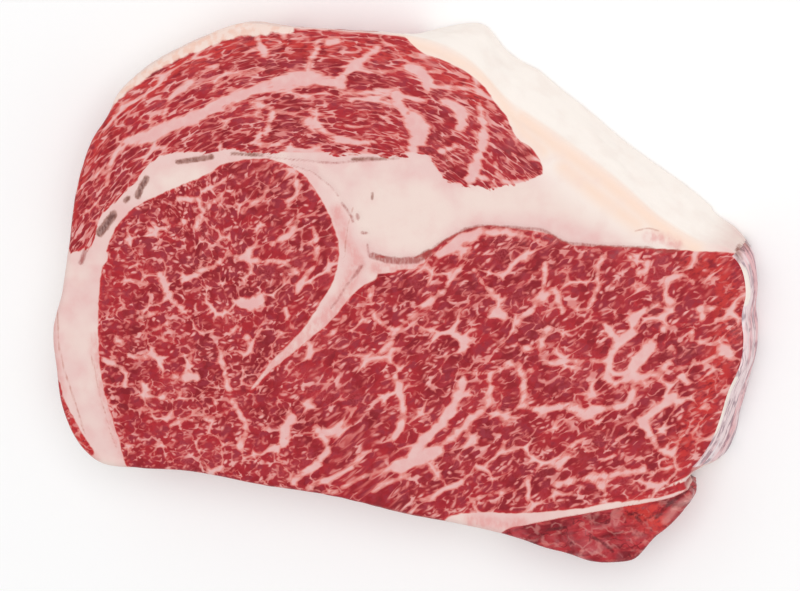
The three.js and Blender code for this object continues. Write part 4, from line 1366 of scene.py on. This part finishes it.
def build_cut_face():
    """Group: colour, roughness, wetness and height of the meat at a place, the same in every
    piece, so that nothing shows where two pieces meet."""
    group, end = new_group("cut_face", {"Color": "Color", "Roughness": "Float", "Wet": "Float",
                                        "Height": "Float"})
    place = object_place(group)
    net = add_node(group, "Group", node_tree=marbling)
    veins = {output.name: Wire(output) for output in net.outputs}
    membrane, stain, cream, _ = attribute(group, "marks")
    bright, side = attribute(group, "tone")[:2]
    white, film = attribute(group, "shade")[:2]
    peach, rose, thin_line, _ = attribute(group, "warm")
    depth = attribute(group, "lean")[0]
    grain = attribute(group, "grain")[3]
    fat = veins["Fat"]

    meat = mix(fat, lean_colour(place, grain, veins, bright),
               fat_colour(place, depth, veins["Rich"], cream, white, peach, rose))
    meat = mix(fat * (1.0 - fat) * 1.8, meat, FAT_EDGE)
    ragged = noise(drawn_out(place, (1.0, 1.0, 0.3)), 2.2, 3.0, offset=23)
    cover = step(film + (ragged - 0.5) * 1.1, 0.25, 0.75)
    meat = mix(cover * 0.93, meat, mix(step(ragged, 0.40, 0.60) * 0.6, RIM_FILM, FAT_WHITE))

    outside = step(depth, 0.5, -0.5)
    cloud = step(noise(place, 7.0, 4.0, offset=13), 0.42, 0.72)
    rind = mix(cloud * 0.6, mix(white, FAT_CREAM, FAT_WALL), mix(white, FAT_SEAM, FAT_WHITE))
    rind = mix(side * (1.0 - side) * 3.2 * peach, rind, PEACH)
    meat = mix(side * outside, meat, rind)
    veil = step(noise(drawn_out(place, (1.0, 1.0, 0.14)), 4.5, 4.0, 0.6), 0.40, 0.62)
    meat = mix(side * (1.0 - outside) * (0.25 + 0.55 * veil), meat, FILM_PINK)

    # Brown membrane lines. The stroke along the lower rim is painted shadow in the same brown.
    line = step(membrane + (noise(place, 1.1, 3.0) - 0.5) * 0.6, 0.42, -0.25)
    worn = step(noise(drawn_out(place, (2.2, 0.8, 1.0)), 1.3, 2.0, offset=47), 0.32, 0.60)
    meat = mix(line * (0.50 + 0.30 * worn) * (1.0 - side), meat, MEMBRANE_AND_SHADOW_BROWN)
    hair = step(thin_line + (noise(place, 1.6, 2.0, offset=15) - 0.5) * 0.4, 0.22, -0.12)
    meat = mix(hair * 0.60 * (1.0 - side), meat, THIN_BROWN)
    patch = step(stain + (noise(place, 1.6, 3.0) - 0.5) * 0.9, 0.30, -0.28)
    blotch = step(noise(drawn_out(place, (1.0, 0.55, 1.0)), 0.8, 2.0, offset=5), 0.35, 0.65)
    deep = step(stain, 0.0, -0.9) * 0.75 + 0.25 * blotch
    meat = mix(patch * (0.70 + 0.20 * blotch), meat, mix(deep, STAIN_GREY, STAIN_BROWN))

    grit = noise(place, 0.6, 2.0) * 0.05 + noise(place, 1.3, 2.0) * 0.07
    height = fat * FAT_RAISED + grit - line * LINE_SUNK
    wet = veins["Lean"] * (1.0 - fat) * step(noise(place, 5.0, 2.0), 0.50, 0.68)
    rough = LEAN_ROUGH + FAT_ROUGHER * fat - WET_SMOOTHER * wet + WALL_ROUGHER * side
    give(end, {"Color": meat, "Roughness": rough, "Wet": wet, "Height": height})
    return group


cut_face = build_cut_face()
print("cut face group of", len(cut_face.nodes), "nodes")

# %% [markdown]
# Every piece has its own material on that group. The rib strip was pulled about as it was cut,
# so it is wet, with films and bright tears, and its creases, ridges and slits carry painted
# highlight and painted shade. The silverskin is a tough white sheet that wrinkled along the wall
# when the meat sagged: its lines run level, and it is brown where it dried.

# %% Finishes of the strip and the skin
STRIP_DARK = (0.220, 0.010, 0.018)
STRIP_RED = (0.460, 0.028, 0.038)
STRIP_TEAR = (0.700, 0.050, 0.040)
STRIP_FILM = (0.450, 0.100, 0.115)
# Pale pink of the flap, also the painted highlight on the strip's creases and ridges.
STRIP_PALE_AND_HIGHLIGHT = (0.760, 0.330, 0.300)
# Painted shade: the dark of the strip's slits and creases.
STRIP_SHADE_DARK = (0.120, 0.006, 0.012)
SKIN_LILAC = (0.880, 0.690, 0.700)
SKIN_PINK = (0.800, 0.400, 0.420)
SKIN_PURPLE = (0.230, 0.110, 0.160)
SKIN_CREAM = (0.900, 0.810, 0.730)
SKIN_WHITE = (0.880, 0.790, 0.810)


def strip_finish(tree, colour, rough, height):
    """The rib strip: dark lean in long folds, bright in its tears, with grey-pink film on it.
    Creases run where a noise passes through its middle value, with painted highlight in some places
    and painted shade in others. The drawn ridges are painted highlight, the flap is pale, and the
    drawn slits are painted shade."""
    place = object_place(tree)
    grain = attribute(tree, "grain")[3]
    bright = attribute(tree, "tone")[0]
    slit_shade, ridge_highlight, flap, _ = attribute(tree, "fold")
    bent = wander(grain, 5.0, 2.4)
    long_noise = noise(bent, 3.2, 4.0, 0.55)
    meat = mix(step(long_noise, 0.36, 0.60), STRIP_DARK, STRIP_RED)
    film = step(noise(wander(place, 6.0, 3.0), 5.5, 3.0, offset=8), 0.50, 0.66)
    meat = mix(film * 0.38, meat, STRIP_FILM)
    fibre = step(noise(bent, 1.1, 3.0, offset=3), 0.54, 0.68)
    meat = mix(fibre * 0.50, meat, FLECK_RED)
    # Painted highlight and painted shade along creases that the mesh does not have: pale where the lit part
    # is, dark elsewhere.
    crease_light_and_shade = calc("ABSOLUTE", noise(wander(place, 3.0, 1.6), 5.0, 2.0, 0.45, offset=73) - 0.5)
    lit_part = step(noise(place, 3.5, 1.0, offset=77), 0.44, 0.56)
    meat = mix(step(crease_light_and_shade, 0.075, 0.0) * lit_part * 0.36, meat, STRIP_PALE_AND_HIGHLIGHT)
    meat = mix(step(crease_light_and_shade, 0.030, 0.0) * (1.0 - lit_part) * 0.70, meat, STRIP_SHADE_DARK)
    meat = mix(bright * step(noise(place, 1.5, 2.0), 0.30, 0.60) * 0.8, meat, STRIP_TEAR)
    meat = mix(flap * (0.45 + 0.35 * fibre), meat, STRIP_PALE_AND_HIGHLIGHT)
    rough_line = (noise(place, 1.2, 3.0, offset=51) - 0.5) * 0.8
    # Painted highlight on the drawn ridges, painted shade in the drawn slits.
    meat = mix(step(ridge_highlight + rough_line, 0.34, -0.20) * 0.50, meat, STRIP_PALE_AND_HIGHLIGHT)
    meat = mix(step(slit_shade + rough_line, 0.50, -0.20) * 0.85, meat, STRIP_SHADE_DARK)
    kept = step(attribute(tree, "shade")[2], 0.3, 0.7)
    return mix(kept, colour, meat), rough - 0.10 * kept, height + long_noise * 0.5


def skin_finish(tree, _, rough, height):
    """Silverskin: lilac white with level purple-grey lines, where a noise drawn out along the
    wall passes through its middle value, and pink between some of them. Its cut edge is cream in
    patches, and it is brown where it dried."""
    place = object_place(tree)
    side = attribute(tree, "tone")[1]
    stain, cream = attribute(tree, "marks")[1:3]
    level = drawn_out(wander(place, 7.0, 1.6), (0.12, 0.12, 1.0))
    waves = noise(level, 2.6, 3.0, 0.60)
    line = step(calc("ABSOLUTE", waves - 0.5), 0.050, 0.012)
    second = step(calc("ABSOLUTE", noise(level, 1.8, 2.0, offset=7) - 0.5), 0.045, 0.010)
    gone = step(noise(place, 5.0, 2.0), 0.64, 0.46)
    skin = mix(step(noise(level, 4.0, 2.0, offset=3), 0.46, 0.60) * 0.75, SKIN_LILAC, SKIN_PINK)
    skin = mix(step(noise(level, 2.6, 2.0, offset=27), 0.56, 0.66) * 0.7, skin, SKIN_WHITE)
    skin = mix(largest(line, second * 0.8) * gone * 0.70, skin, SKIN_PURPLE)
    patches = step(cream + (noise(place, 3.0, 2.0, offset=33) - 0.5) * 0.6, 0.60, 0.85)
    skin = mix(patches * step(side, 0.85, 0.25) * 0.9, skin, SKIN_CREAM)
    dry = step(stain + (noise(place, 2.0, 3.0) - 0.5) * 2.4, 1.0, -0.4)
    skin = mix(dry * 0.70, skin, mix(step(waves, 0.44, 0.56), STAIN_GREY, STAIN_BROWN))
    return skin, rough - 0.06 * side, height - line * 0.25


# %% [markdown]
# Raw fat is waxy and lean is moist, so both shine softly and a thin coat stands for the wet
# patches. The bump is low, because the folds and grooves that can be seen are in the mesh.

# %% Materials
BUMP_REACH = 0.001           # m
COAT_ROUGH = 0.15


def meat_material(name, finish=None, coat=0.25, specular=0.16, bump=0.5):
    """Principled material fed by the cut face group. finish may change the colour, roughness
    and height wires."""
    material = bpy.data.materials.new(name)
    material.use_nodes = True
    tree = material.node_tree
    shader = tree.nodes["Principled BSDF"]
    face = add_node(tree, "Group", node_tree=cut_face)
    colour, rough, wet, height = [Wire(output) for output in face.outputs]
    if finish:
        colour, rough, height = finish(tree, colour, rough, height)
    join(shader.inputs["Base Color"], colour)
    join(shader.inputs["Roughness"], rough)
    join(shader.inputs["Coat Weight"], wet * coat)
    shader.inputs["Coat Roughness"].default_value = COAT_ROUGH
    shader.inputs["Specular IOR Level"].default_value = specular
    relief = add_node(tree, "Bump", [("Height", height)])
    relief.inputs["Distance"].default_value = BUMP_REACH
    relief.inputs["Strength"].default_value = bump
    join(shader.inputs["Normal"], Wire(relief.outputs[0]))
    return material


materials = {
    "fat": meat_material("fat"),
    "cap_muscle": meat_material("cap_lean"),
    "eye_muscle": meat_material("eye_lean"),
    "rib_strip": meat_material("rib_lean", strip_finish, coat=0.35, specular=0.20, bump=0.7),
    "rib_seam": meat_material("membrane"),
    "silverskin": meat_material("silverskin", skin_finish, coat=0.3, specular=0.25),
}

# %% [markdown]
# Each piece gets its material, rides on the root, and takes the place of the solid of the same
# name, which is hidden.

# %% Putting the pieces on the steak
for node_name, piece in pieces.items():
    piece.data.materials.clear()
    piece.data.materials.append(materials[node_name])
    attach(piece, "root")
    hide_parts(node_name)

# %% [markdown]
# The floor is a plain pale sheet, and the light comes from all round with a little more from a
# wide soft lamp above, as in a tent for small goods.

# %% Floor and light
FLOOR_SIZE = 6.0             # m
FLOOR_GREY = (0.97, 0.97, 0.97, 1)
FLOOR_ROUGH = 0.9
SKY_STRENGTH = 0.70
LAMP_PLACE = (0.25, 0.35, 1.4)          # m
LAMP_SIZE = 1.2              # m
LAMP_POWER = 9               # W
world = bpy.data.worlds.new("studio")
bpy.context.scene.world = world
world.use_nodes = True
world.node_tree.nodes["Background"].inputs["Color"].default_value = (1, 1, 1, 1)
world.node_tree.nodes["Background"].inputs["Strength"].default_value = SKY_STRENGTH

half = FLOOR_SIZE / 2
floor_mesh = bpy.data.meshes.new("floor")
floor_mesh.from_pydata([(-half, -half, 0), (half, -half, 0), (half, half, 0), (-half, half, 0)],
                       [], [(0, 1, 2, 3)])
floor = bpy.data.objects.new("floor", floor_mesh)
bpy.context.scene.collection.objects.link(floor)
paper = bpy.data.materials.new("pale_paper")
paper.use_nodes = True
paper.node_tree.nodes["Principled BSDF"].inputs["Base Color"].default_value = FLOOR_GREY
paper.node_tree.nodes["Principled BSDF"].inputs["Roughness"].default_value = FLOOR_ROUGH
floor_mesh.materials.append(paper)


def lamp(name, place, size, watts):
    """Square area lamp at a place, turned towards the steak."""
    data = bpy.data.lights.new(name, "AREA")
    data.size = size
    data.energy = watts
    lit = bpy.data.objects.new(name, data)
    lit.location = place
    lit.rotation_euler = (-Vector(place)).to_track_quat("-Z", "Y").to_euler()
    bpy.context.scene.collection.objects.link(lit)


lamp("key", LAMP_PLACE, LAMP_SIZE, LAMP_POWER)
bpy.context.scene.view_settings.view_transform = "Standard"
